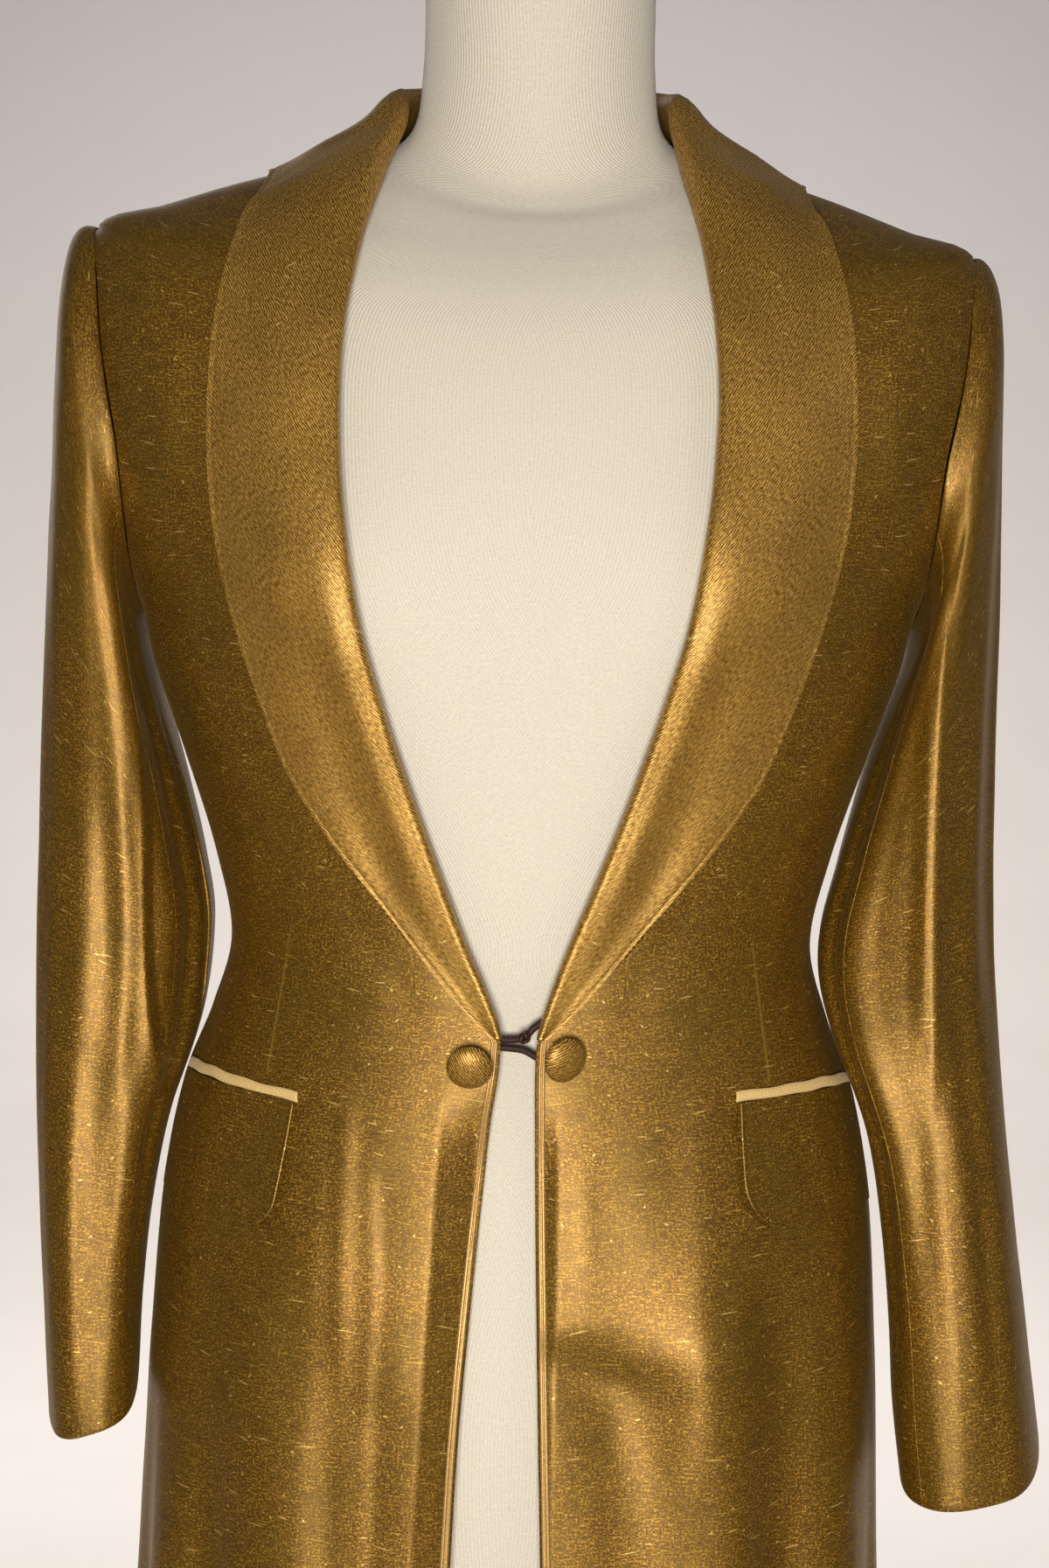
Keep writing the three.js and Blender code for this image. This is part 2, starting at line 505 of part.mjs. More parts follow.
// Adds a named piece. A piece of the right side is made on the left and mirrored.
function add(name, geometry, material, side = "left") {
  const mesh = new THREE.Mesh(geometry, material);
  mesh.name = name;
  if (side === "right") {
    geometry.scale(-1, 1, 1);
    const index = geometry.index.array;
    for (let k = 0; k < index.length; k += 3) [index[k + 1], index[k + 2]] = [index[k + 2], index[k + 1]];
  }
  group.add(mesh);
}

// Pieces of the coat, made for the wearer's left

const spread = (count, from, to) => Array.from({ length: count + 1 }, (_, k) => lerp(from, to, k / count));

function frontPanel(side) {
  const grid = panelLevels(corner.front.level).map((level) => {
    const cut = moved(side, frontOuter(level), level, -seamGap / 2);
    return spread(11, frontInner(side, level), cut).map((t) => onCoat(side, t, level));
  });
  return wall(grid, 0, -cloth.body);
}

function sidePanel(side) {
  const levels = rowLevels(coat, levelOf.hem, levelOf.armpit);
  const columns = 5;
  const grid = levels.map((level) =>
    spread(columns, 0, 1).map((share) => {
      const edge = share === 0 ? seamGap / 2 : share === 1 ? -seamGap / 2 : 0;
      const top = armholeFloor(lerp(corner.front.t, corner.back.t, share));
      const { bust: start, armpit: end } = levelOf;
      const raisedLevel = level <= start ? level : lerp(start, top, (level - start) / (end - start));
      const t = lerp(seamAngle("side", raisedLevel), seamAngle("back", raisedLevel), share);
      return onCoat(side, moved(side, t, raisedLevel, edge), raisedLevel);
    }),
  );
  return wall(grid, 0, -cloth.body);
}

function backPanel(side) {
  const grid = panelLevels(corner.back.level).map((level) => {
    const start = moved(side, backOuter(level), level, seamGap / 2);
    return spread(9, start, moved(side, Math.PI, level, -seamGap / 2)).map((t) => onCoat(side, t, level));
  });
  return wall(grid, 0, -cloth.body);
}

// Stations of the collar from its point at the fastening round to the middle of the back neck. Each has the
// place of the roll and of the outer edge, and how far it stands up from the neck seam, from 0 to 1.
function collarStations(side) {
  const lapelRows = [1042, 1048, 1058, 1074, 1095, 1120, 1147, 1175, 1202, 1230, 1258, 1286, 1312, 1337, 1358];
  const stations = lapelRows.map((z) => {
    const roll = frontPlace(rollAt(side, z) + cloth.collar / 2, z);
    const edge = frontPlace(readTable(lapel, "z", "edge", z), z);
    return { rollT: roll.t, rollLevel: roll.level, edgeT: edge.t, edgeLevel: edge.level, stand: 0, lift: 0 };
  });
  const turn = [
    { roll: [71.5, 1376], edge: [128, 1374], stand: 0, lift: 0.6 },
    { roll: [69, 1386], edge: [125, 1381], stand: 0.04, lift: 1.2 },
    { roll: [67, 1394], edge: [121, 1387], stand: 0.1, lift: 1.8 },
    { roll: [65, 1402], edge: [117, 1392], stand: 0.2, lift: 2.2 },
    { roll: [63.5, 1409], edge: [113, 1397], stand: 0.35, lift: 2.2 },
  ].map(({ roll, edge, stand, lift }) => {
    const at = frontPlace(roll[0] + rollShift[side], roll[1]);
    const out = frontPlace(...edge);
    return { rollT: at.t, rollLevel: at.level, edgeT: out.t, edgeLevel: out.level, stand, lift };
  });
  const { stand, roll, slope, yoke } = levelOf;
  const around = [
    { at: 71, rollLevel: stand - 0.25, edgeAt: 73, edgeLevel: slope - 0.3, stand: 0.6 },
    { at: 78, rollLevel: stand + 0.2, edgeAt: 80, edgeLevel: slope - 0.2, stand: 0.85 },
    { at: 87, rollLevel: stand + 0.65, edgeAt: 89, edgeLevel: slope - 0.12, stand: 1 },
    { at: 98, rollLevel: roll - 0.1, edgeAt: 99, edgeLevel: slope - 0.15, stand: 1 },
    { at: 114, rollLevel: roll, edgeAt: 114, edgeLevel: slope - 0.3, stand: 1 },
    { at: 131, rollLevel: roll, edgeAt: 131, edgeLevel: yoke + 0.45, stand: 1 },
    { at: 148, rollLevel: roll, edgeAt: 148, edgeLevel: yoke + 0.25, stand: 1 },
    { at: 164, rollLevel: roll, edgeAt: 164, edgeLevel: yoke + 0.12, stand: 1 },
    { at: 179.85, rollLevel: roll, edgeAt: 179.9, edgeLevel: yoke + 0.1, stand: 1 },
  ].map((row) => ({
    rollT: degToRad(row.at),
    rollLevel: row.rollLevel,
    edgeT: degToRad(row.edgeAt),
    edgeLevel: row.edgeLevel,
    stand: row.stand,
    lift: 1.6,
  }));
  return [...stations, ...turn, ...around];
}

// The middle of the collar's cloth across one station: up the stand, over the roll and down the fall.
function collarSection(side, station) {
  const { rollT, rollLevel, edgeT, edgeLevel, stand, lift } = station;
  const half = cloth.collar / 2;
  const seamLevel = lerp(rollLevel, Math.min(levelOf.neck + 0.06, rollLevel), Math.min(stand * 1.6, 1));
  const curl = [-1.4, 0.2, 1.8];
  const standing = spread(2, 0, 1).map((share, k) =>
    onCoat(side, rollT, lerp(seamLevel, rollLevel, share), lerp(curl[k], -half, stand)).point,
  );
  const crest = onCoat(side, moved(side, rollT, rollLevel, lerp(0.9, 0, stand)), rollLevel, lerp(3.6, 1.6, stand));
  crest.point.z += 1.6 * stand;
  const edge = onCoat(side, edgeT, edgeLevel, collarGap + half).point;
  const over = onCoat(side, rollT, rollLevel, 4.2).point;
  const falling = [0.09, 0.22, 0.4, 0.6, 0.8, 1].map((share) => {
    const t = lerp(rollT, edgeT, share);
    const level = lerp(rollLevel, edgeLevel, share);
    const raised = lerp(4.2, collarGap + half, Math.min(share * 1.7, 1) ** 0.8);
    const lying = onCoat(side, t, level, raised + lift * Math.sin(Math.PI * lerp(0.3, 0.9, share))).point;
    const bridging = over.clone().lerp(edge, share);
    bridging.z += 0.8 * Math.sin(Math.PI * share);
    return lying.lerp(bridging, THREE.MathUtils.smoothstep(stand, 0.35, 1));
  });
  return [...standing, crest.point, ...falling];
}

function collarHalf(side) {
  const sections = collarStations(side).map((station) => collarSection(side, station));
  return wall(withNormals(sections), cloth.collar / 2, -cloth.collar / 2);
}

// Points of the armhole as a closed loop from the shoulder tip down the front and up the back.
function armholeLoop(side) {
  const levels = spread(24, levelOf.tip, levelOf.armpit + 0.002);
  const front = levels.map((level) => coatPoint(side, armholeFront(level), level));
  const back = levels.map((level) => coatPoint(side, armholeBack(level), level)).reverse();
  return [...front, ...back.slice(1, -1)];
}

// A point at a share of the length of a closed loop.
function pointOnLoop(loop, share) {
  const lengths = loop.map((point, k) => point.distanceTo(loop[(k + 1) % loop.length]));
  let left = share * lengths.reduce((sum, length) => sum + length, 0);
  let k = 0;
  while (k < loop.length - 1 && left > lengths[k]) left -= lengths[k++];
  return loop[k].clone().lerp(loop[(k + 1) % loop.length], left / lengths[k]);
}

function creaseAt(side, turn, z) {
  const angle = (turn / degToRad(1) + 360) % 360;
  return creases
    .filter((crease) => crease.side === side || crease.side === "both")
    .filter((crease) => z > crease.low && z < crease.high)
    .reduce((sum, crease) => {
      const middle = (crease.low + crease.high) / 2;
      const strength = hill(z - middle, (crease.high - crease.low) / 2) ** 0.4;
      return sum + crease.height * strength * hill(angle - crease.at, crease.width);
    }, 0);
}

// A point of the sleeve: turn 0 is outermost, then the front, the body side and the back. Level 0 is the armhole.
function sleevePoint(side, loop, turn, level) {
  const rings = sleeveRings[side];
  const share = (((turn / (2 * Math.PI)) % 1) + 1) % 1;
  const read = (column) => readTable(rings.map((ring, k) => ({ ...ring, level: k + 1 })), "level", column, Math.max(level, 1));
  const out = new THREE.Vector3(read("outX"), 0, read("outZ"));
  const inn = new THREE.Vector3(read("inX"), 0, read("inZ"));
  const power = 2 / sleeveSquare;
  const across = Math.sign(Math.cos(turn)) * Math.abs(Math.cos(turn)) ** power;
  const deep = Math.sign(Math.sin(turn)) * Math.abs(Math.sin(turn)) ** power;
  const middle = out.clone().add(inn).multiplyScalar(0.5);
  const point = middle.addScaledVector(out.clone().sub(inn), across / 2);
  const [front, back] = [read("front"), read("back")];
  point.y += (back - front) / 2 - (deep * (front + back)) / 2;
  point.z -= read("dip") * deep;
  point.x -= read("lean") * deep;
  const away = new THREE.Vector3(Math.cos(turn), -Math.sin(turn), 0);
  point.addScaledVector(away, creaseAt(side, turn, point.z));
  if (level >= 5) return point;
  const cut = pointOnLoop(loop, share);
  const toSleeve = point.clone().sub(cut);
  const start = cut.addScaledVector(toSleeve.setX(Math.max(toSleeve.x, 0.2)).normalize(), armholeGap);
  const blend = THREE.MathUtils.smoothstep(level, 0, 5);
  return level <= 0 ? start : start.lerp(point, blend ** 0.55);
}

function sleeveHalf(side, loop, fromTurn, toTurn, columns) {
  const rings = [{ rows: 1 }, ...sleeveRings[side]];
  const step = 0.01;
  const grid = rowLevels(rings, 0, rings.length - 1).map((level) =>
    spread(columns, degToRad(fromTurn), degToRad(toTurn)).map((turn) => {
      const at = (dTurn, dLevel) => sleevePoint(side, loop, turn + dTurn, level + dLevel);
      const along = at(0, Math.min(step, rings.length - 1 - level)).sub(at(0, -Math.min(step, level)));
      const around = at(step, 0).sub(at(-step, 0));
      return { point: at(0, 0), normal: around.cross(along).normalize() };
    }),
  );
  return wall(grid, 0, -cloth.sleeve);
}

// What lies on a front: a strip or patch between two angles at each height, raised off the cloth.
function patchOnFront(side, rows, columns, raised, thickness) {
  const grid = rows.map(({ z, from, to, lift = 0 }) =>
    spread(columns, 0, 1).map((share) => {
      const level = crossing((at) => readTable(coat, "level", "zFront", at) - z, levelOf.hem, levelOf.bust);
      return onCoat(side, lerp(from(level), to(level), share), level, raised + lift);
    }),
  );
  return wall(grid, thickness, 0);
}

function jet(side) {
  const { inner, outerAngle, jetTop, jetHeight } = pocket;
  const rows = [jetTop - jetHeight, jetTop - jetHeight / 2, jetTop].map((z) => ({
    z,
    from: (level) => frontAngle(() => inner, level),
    to: () => degToRad(outerAngle),
  }));
  return patchOnFront(side, rows, 8, layGap, cloth.jet);
}

function flap(side) {
  const { inner, outerAngle, jetTop, jetHeight, flapHeight, rounding, lift } = pocket;
  const top = jetTop - jetHeight - seamGap;
  const bottom = top - flapHeight;
  const heights = [0, 1.5, 4, 7, rounding, rounding * 2.4, flapHeight];
  const rows = heights.map((above) => {
    // A rounded corner: the lowest rows start further from the middle.
    const inset = above < rounding ? rounding - Math.sqrt(rounding ** 2 - (rounding - above) ** 2) : 0;
    return {
      z: bottom + above,
      lift: lift * (1 - above / flapHeight) ** 2,
      from: (level) => frontAngle(() => inner + inset, level),
      to: () => degToRad(outerAngle),
    };
  });
  return patchOnFront(side, rows, 8, layGap, cloth.flap);
}

const pipingWidth = 4.2;
function piping(side) {
  const heights = spread(13, coat[0].zFront + 1, buttonLevel - 3);
  const rows = heights.map((z) => ({
    z,
    from: (level) => frontInner(side, level),
    to: (level) => moved(side, frontInner(side, level), level, pipingWidth),
  }));
  return patchOnFront(side, rows, 3, layGap, cloth.piping);
}

function button(side) {
  const { x, z, leanSide, leanUp } = buttons[side];
  const place = frontPlace(x, z);
  const { point, normal } = onCoat(side, place.t, place.level, layGap);
  const axis = normal.clone();
  axis.applyAxisAngle(new THREE.Vector3(0, 0, 1), degToRad(-leanSide));
  axis.applyAxisAngle(new THREE.Vector3(1, 0, 0), degToRad(-leanUp));
  const turn = new THREE.Quaternion().setFromUnitVectors(new THREE.Vector3(0, 1, 0), axis);
  const profile = buttonProfile.map(([radius, height]) => new THREE.Vector2(radius, height));
  const geometry = new THREE.LatheGeometry(profile, 16);
  const clear = 2.6 * Math.sin(degToRad(Math.hypot(leanSide, leanUp)));
  geometry.applyQuaternion(turn);
  return geometry.translate(...point.addScaledVector(normal, clear).toArray());
}

// The cloth

for (const side of ["left", "right"]) {
  add(`front_${side}`, frontPanel(side), finish.silk, side);
  add(`side_${side}`, sidePanel(side), finish.silk, side);
  add(`back_${side}`, backPanel(side), finish.silk, side);
  add(`collar_${side}`, collarHalf(side), finish.collar, side);
  const loop = armholeLoop(side);
  const { front, back } = sleeveSeams;
  const gapTurn = 0.16;
  const topFrom = back - 360 + gapTurn;
  add(`sleeve_top_${side}`, sleeveHalf(side, loop, topFrom, front - gapTurn, sleeveColumns.top), finish.silk, side);
  add(`sleeve_under_${side}`, sleeveHalf(side, loop, front + gapTurn, back - gapTurn, sleeveColumns.under), finish.silk, side);
  add(`pocket_jet_${side}`, jet(side), finish.trim, side);
  add(`pocket_flap_${side}`, flap(side), finish.silk, side);
  add(`edge_piping_${side}`, piping(side), finish.trim, side);
  add(`link_button_${side}`, button(side), finish.collar, side);
}

// The link between the two buttons: two strands side by side that part on the wearer's left, and their knot

const linkDepth = bodyPoint(coat, 0, levelOf.fastening).y + cloth.body + link.behind + link.radius;
const strand = (points) => tube(points.map(([x, z]) => new THREE.Vector3(x, linkDepth, z)), link.radius, 10);
const { reach } = link;
add("link_strand_upper", strand([[-reach, 1034.4], [-4, 1034], [2, 1035], [6.5, 1039.5], [reach, 1043]]), finish.cord);
add("link_strand_lower", strand([[-reach, 1030.8], [-4, 1030.4], [2, 1029.6], [7, 1027], [reach, 1024]]), finish.cord);
const knot = new THREE.SphereGeometry(link.knot, 8, 6);
add("link_knot", knot.translate(2.2, linkDepth - link.radius - link.knot - 0.3, 1035.5), finish.cord);

// The dress form and its stand

const around = 32;
const formLoops = rowLevels(form, 0, form.length - 1).map((level) =>
  spread(around, 0, 2 * Math.PI).slice(0, around).map((turn) => {
    const t = turn <= Math.PI ? turn : 2 * Math.PI - turn;
    const point = bodyPoint(form, t, level);
    point.z -= droop(turn <= Math.PI ? "left" : "right", point.x, point.z);
    return turn <= Math.PI ? point : point.setX(-point.x);
  }),
);
add("form_torso", loft(formLoops), finish.jersey);

const poleTop = form[0].zSide - seamGap;
const poleGeometry = new THREE.CylinderGeometry(pole.radius, pole.radius, poleTop - base.bossTop - seamGap, 24);
poleGeometry.rotateX(Math.PI / 2).translate(0, 0, (poleTop + base.bossTop + seamGap) / 2);
add("stand_pole", poleGeometry, finish.steel);

const baseProfile = [
  [0, 0], [base.radius, 0], [base.radius, base.rim], [base.radius - 5, base.rim + 2],
  [base.bossRadius + 12, base.rise], [base.bossRadius, base.rise + 3], [base.bossRadius - 3, base.bossTop], [0, base.bossTop],
];
const baseGeometry = new THREE.LatheGeometry(baseProfile.map(([r, z]) => new THREE.Vector2(r, z)), 36);
add("stand_base", baseGeometry.rotateX(Math.PI / 2), finish.iron);

export default group;
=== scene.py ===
import math
import random

import bmesh
import bpy
import numpy as np
from mathutils import Matrix, Vector


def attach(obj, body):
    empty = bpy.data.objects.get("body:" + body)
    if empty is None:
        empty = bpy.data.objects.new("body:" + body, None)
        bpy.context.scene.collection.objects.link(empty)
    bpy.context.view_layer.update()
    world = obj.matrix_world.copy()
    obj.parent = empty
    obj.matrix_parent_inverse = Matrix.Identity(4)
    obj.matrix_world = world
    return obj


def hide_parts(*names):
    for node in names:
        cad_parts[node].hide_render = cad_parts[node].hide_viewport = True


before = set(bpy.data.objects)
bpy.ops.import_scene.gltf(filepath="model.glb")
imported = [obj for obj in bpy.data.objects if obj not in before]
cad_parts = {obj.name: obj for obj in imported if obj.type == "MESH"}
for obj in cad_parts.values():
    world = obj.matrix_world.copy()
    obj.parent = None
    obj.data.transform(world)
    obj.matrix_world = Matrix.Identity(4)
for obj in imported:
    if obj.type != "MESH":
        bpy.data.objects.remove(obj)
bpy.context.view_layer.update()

print("frame loaded")

# Camera at the photograph's place. It comes first, and looks slightly down with a small roll.
view = {"place": (0, -1.24767, 1.21331), "down": 3.5, "roll": 1.2, "lens": 3125 / 1793 * 36}
cameraData = bpy.data.cameras.new("photoCamera")
cameraData.lens = view["lens"]
cameraData.sensor_width = 36
cameraData.clip_start = 0.05
camera = bpy.data.objects.new("photoCamera", cameraData)
bpy.context.collection.objects.link(camera)
camera.matrix_world = (
    Matrix.Translation(view["place"])
    @ Matrix.Rotation(math.radians(90 - view["down"]), 4, "X")
    @ Matrix.Rotation(math.radians(view["roll"]), 4, "Z")
)
bpy.context.scene.camera = camera

# Sizes below are in millimetres and angles in degrees, as in the part's own source.
unit = 0.001
buttonLevel = 1034
skirtTop, hemHeight = 1012, 530
pocket = {"inner": 93, "outerAngle": 77.5, "jetTop": 1011.3, "jetHeight": 4.8, "flapHeight": 52}
flapEdge = {"left": {"slant": 1, "rounding": 20}, "right": {"slant": 7, "rounding": 12}}
# Height added to a pocket's mouth at its inner end, its outer end and its middle
pocketTilt = {"left": (0.8, 0.6, 1.6), "right": (-3.2, 1.6, 1.4)}

# Columns: height at front, side and back, half width, reach to front and back, squareness
coatRings = [
    (530, 530, 530, 189, 146, 152, 2.15),
    (650, 650, 650, 179, 134, 143, 2.15),
    (770, 770, 770, 171, 124, 134, 2.2),
    (870, 870, 870, 167, 117, 125, 2.2),
    (948, 948, 948, 162, 112, 112, 2.2),
    (1000, 1000, 1000, 153, 107, 97, 2.2),
    (1035, 1035, 1035, 140, 102, 86, 2.2),
    (1068, 1068, 1068, 132, 99, 79, 2.2),
    (1107, 1107, 1107, 140, 101, 80, 2.25),
    (1152, 1152, 1152, 155, 106, 87, 2.3),
    (1196, 1190, 1192, 168, 109, 94, 2.4),
    (1226, 1215, 1222, 174, 109, 98, 2.5),
    (1262, 1258, 1264, 190, 106, 102, 2.65),
    (1300, 1308, 1310, 201, 100, 103, 2.8),
    (1330, 1350, 1350, 203, 92, 99, 2.8),
    (1352, 1384, 1378, 196, 83, 91, 2.7),
    (1367, 1393.5, 1394, 168, 76, 84, 2.5),
    (1379, 1403.5, 1408, 138, 70, 78, 2.3),
    (1388, 1412, 1420, 108, 64, 72, 2.15),
    (1394, 1420, 1430, 84, 58, 66, 2.05),
    (1400, 1430, 1438, 66, 52, 60, 2),
    (1412, 1438.5, 1451, 62, 48, 61, 2),
    (1424, 1447, 1463, 61, 46, 63, 2),
]
hemLevel, bustLevel, armpitLevel, bladeLevel, tipLevel = 0, 10, 11, 13, 15
yokeLevel, slopeLevel, neckLevel, standLevel, rollLevel = 17, 18, 20, 21, 22

formRings = [
    (736, 736, 736, 118, 74, 82, 2.1),
    (744, 744, 744, 141, 92, 101, 2.15),
    (768, 768, 768, 152, 100, 110, 2.15),
    (870, 870, 870, 155, 103, 113, 2.15),
    (950, 950, 950, 150, 98, 100, 2.15),
    (1000, 1000, 1000, 140, 92, 85, 2.1),
    (1035, 1035, 1035, 128, 87, 75, 2.1),
    (1068, 1068, 1068, 121, 85, 69, 2.1),
    (1107, 1107, 1107, 128, 88, 70, 2.1),
    (1152, 1152, 1152, 139, 92, 77, 2.15),
    (1196, 1190, 1192, 149, 95, 84, 2.25),
    (1226, 1215, 1222, 154, 96, 88, 2.35),
    (1262, 1258, 1264, 159, 94, 91, 2.45),
    (1300, 1308, 1310, 164, 88, 92, 2.5),
    (1330, 1348, 1346, 167, 80, 88, 2.5),
    (1350, 1378, 1372, 165, 72, 80, 2.5),
    (1364, 1397, 1390, 148, 65, 73, 2.4),
    (1374, 1405.4, 1403, 122, 60, 68, 2.2),
    (1383, 1413, 1414, 96, 55, 62, 2.1),
    (1391, 1420, 1426, 71, 50, 55, 2),
    (1406, 1432, 1442, 56, 46, 52, 2),
    (1440, 1460, 1466, 52, 46, 51, 2),
    (1498, 1502, 1504, 51, 51, 54, 2),
    (1506, 1509, 1511, 44, 44, 47, 2),
]
bust = {"x": 84, "z": 1222, "height": 13, "width": 46, "tall": 62}
rollShift = {"left": 0, "right": 3}
shoulderDrop = {"left": 6, "right": 0}

# Height, then the front edge's distance from the middle on the wearer's left and right
frontEdge = [
    (520, 20, 31), (700, 16, 27), (812, 13, 24.5), (870, 11, 22),
    (940, 9, 17), (996, 7.5, 12), (1020, 7, 8.5), (1036, 7.5, 7.5),
]
# Height, the collar's roll line and its outer edge
lapel = [
    (1034.5, 7.2, 11.5), (1042, 9, 19), (1050, 11.5, 27), (1066, 17, 40.5), (1095, 28.5, 64),
    (1138, 44.5, 95.5), (1177, 57.5, 112), (1207, 66, 122), (1238, 72, 130.5), (1267, 75.5, 135),
    (1295, 77.5, 136.5), (1322, 77.5, 136), (1350, 75, 133.5), (1375, 70, 127), (1398, 63.5, 116),
    (1420, 59, 104), (1445, 57, 96),
]
armhole = [
    (1190, 174), (1215, 174), (1230, 176), (1257, 177.5), (1286, 180), (1310, 184.5),
    (1330, 188), (1350, 190.5), (1370, 193), (1384, 196), (1400, 197),
]
seams = [(520, 79, 131), (1068, 80, 133), (1180, 80, 126), (1260, 80, 112)]

# Skirt folds: side, angle at the waist, angle at the hem, width, height, where it starts
skirtFolds = [
    ("left", 26, 22, 13, 4.5, 1010), ("left", 40, 38, 9, -4, 1000), ("left", 52, 52, 11, 5, 950),
    ("left", 68, 68, 8, -4, 900), ("right", 33, 30, 9, 5, 1012), ("right", 22, 19, 8, -4, 1005),
    ("right", 47, 45, 9, -3.5, 960), ("right", 57, 56, 11, 5, 930), ("right", 70, 70, 8, -4, 900),
    ("both", 84, 82, 10, 4, 780), ("both", 100, 98, 10, -5, 860), ("both", 117, 114, 12, 8, 980),
    ("both", 134, 134, 11, -8, 970), ("both", 150, 151, 12, 8, 985), ("both", 167, 168, 10, -6, 960),
]

# Sleeve rings: outermost x and z, innermost x and z, reach to front and back, dip and lean of the front
sleeveRings = {
    "left": [
        (199.5, 1380.5, 174.8, 1212.6, 62, 63, 0, 0), (203, 1379, 175, 1210, 62, 64, 0, 0),
        (207, 1373, 174.8, 1206, 63, 65, 0, 0), (210, 1361, 173.8, 1200.5, 64, 66, 0, 0),
        (211.5, 1340, 172, 1192.5, 64, 66, 0, 0), (212.5, 1308, 168, 1181, 64, 66, 0, 1),
        (213.5, 1266, 161, 1162, 64, 65, 0, 2), (214.5, 1213, 152, 1134, 64, 63, 1, 4),
        (214.5, 1153, 143.5, 1102, 64, 60, 2, 6), (215, 1094, 139, 1071, 65, 56, 4, 7),
        (217.5, 1040, 146, 1037, 68, 49, 6, 8), (221.5, 990, 163, 990, 72, 42, 8, 7),
        (226.5, 943, 171, 943, 76, 34, 10, 7), (232, 898, 175, 896, 81, 25, 11, 7),
        (238.5, 848, 178, 839, 85, 17, 12, 8),
    ],
    "right": [
        (201.5, 1386.5, 174.8, 1212.6, 62, 63, 0, 0), (206.5, 1386, 175, 1210, 62, 64, 0, 0),
        (210, 1380, 174.8, 1206, 63, 65, 0, 0), (212, 1366, 173.8, 1200.5, 64, 66, 0, 0),
        (213.5, 1343, 172, 1192.5, 64, 66, 0, 0), (215, 1310, 168.8, 1181, 64, 66, 0, 0),
        (216, 1267, 163.5, 1162, 63, 66, 0, 0), (217, 1213, 154.5, 1134, 62, 65, 0, 0),
        (217.5, 1154, 146, 1102, 61, 63, 1, 0), (217.5, 1096, 141, 1071, 61, 60, 3, 0),
        (217, 1043, 146.5, 1035, 63, 56, 5, 0), (216, 992, 163, 987, 66, 51, 7, 2),
        (214.5, 947, 171, 943, 69, 45, 9, 4), (213, 904, 174, 904, 71, 41, 10, 6),
        (211.5, 857, 175, 869, 73, 37, 11, 8),
    ],
}
# Sleeve creases: side, where round the sleeve, width, height, lowest and highest point
sleeveCreases = [
    ("both", 118, 17, 3.5, 870, 1330), ("both", 141, 12, -6, 880, 1260), ("both", 66, 20, -3, 850, 1300),
    ("right", 28, 18, 2.5, 850, 1280), ("left", 30, 18, -2.5, 1010, 1300), ("left", 84, 18, 3, 800, 1090),
    ("both", 262, 16, -4, 860, 1200), ("both", 300, 20, 3, 860, 1260),
]
# Folds on the front of the finished sleeves, as on the fronts
sleeveFolds = [
    ("right", [(188, 1361), (186, 1317), (182, 1262), (179, 1207), (175, 1153), (174, 1097),
        (174, 1029), (174, 943)], 5.5, 1.3),
    ("right", [(205, 1350), (206, 1264), (206, 1180)], 5, 0.4),
    ("right", [(203, 1262), (201, 1135), (197, 1059), (199, 943), (196, 865)], 11, 1.3),
    ("right", [(195, 1324), (194, 1264), (192, 1211), (187, 1136), (181, 1078), (179, 1048)], 7, -1.3),
    ("right", [(187, 1020), (187, 982), (186, 943), (184, 885)], 7, -1.0),
    ("right", [(166, 1040), (168, 960), (172, 880)], 5, -0.7),
    ("left", [(186, 1332), (181, 1309), (178, 1280), (177, 1249), (179, 1225), (179, 1124),
        (180, 1018)], 3.4, 1.5),
    ("left", [(184, 1000), (186, 953), (190, 871), (192, 820)], 10, 1.1),
    ("left", [(203, 960), (206, 900), (209, 820)], 7, -1.2),
    ("left", [(212, 960), (217, 880), (222, 800)], 8, 0.7),
    ("left", [(176, 1000), (178, 920), (181, 830)], 5, -0.6),
]
# Where the front of a sleeve is folded over its under side
sleeveTurns = {
    "right": {
        "path": [(177, 1245), (174, 1227), (170, 1163), (166, 1116), (163, 1029), (159, 944)],
        "deep": 8, "low": 960, "soft": 2.4, "slope": 0.5,
    },
    "left": {
        "path": [(181, 1352), (178, 1310), (175.5, 1270), (175, 1219), (175, 1105), (175, 1047)],
        "deep": 2, "low": 1040, "soft": 6, "slope": 0.5,
    },
}
# How the inner side swings in: lowest and highest point, reach
sleeveSwing = {"right": (880, 1000, 4.8), "left": (880, 1040, 4.8)}
# The front ridge: distance from the middle, lowest point, slope of the face outside it
sleeveRidge = {"left": (181, 1040, 0.3), "right": (192, 1240, 0.16)}
sleeveSeam = {"front": 124, "back": 238, "gap": 0.16}

# Curves and surfaces


curveStore = {}


def curveOf(keys, values):
    slopes = np.empty_like(values)
    slopes[1:-1] = (values[2:] - values[:-2]) / (keys[2:] - keys[:-2])
    slopes[0] = (values[1] - values[0]) / (keys[1] - keys[0])
    slopes[-1] = (values[-1] - values[-2]) / (keys[-1] - keys[-2])
    return keys, values, slopes


def readCurve(table, column, at):
    # The value of a column on a smooth curve through a table's rows
    name = (id(table), column)
    if name not in curveStore:
        keys = np.array([row[0] for row in table], float)
        curveStore[name] = curveOf(keys, np.array([row[column] for row in table], float))
    return onCurve(curveStore[name], at)


def alongKeys(keys, values, at):
    return onCurve(curveOf(keys, values), at)


def onCurve(curve, at):
    keys, values, slopes = curve
    at = np.asarray(at, float)
    i = np.clip(np.searchsorted(keys, at, side="left") - 1, 0, len(keys) - 2)
    span = keys[i + 1] - keys[i]
    s = np.clip((at - keys[i]) / span, 0, 1)
    rise = values[i + 1] - values[i]
    low = s * (1 - s) ** 2 * (slopes[i] * span - rise)
    high = s * s * (1 - s) * (slopes[i + 1] * span - rise)
    return values[i] + s * rise + low - high


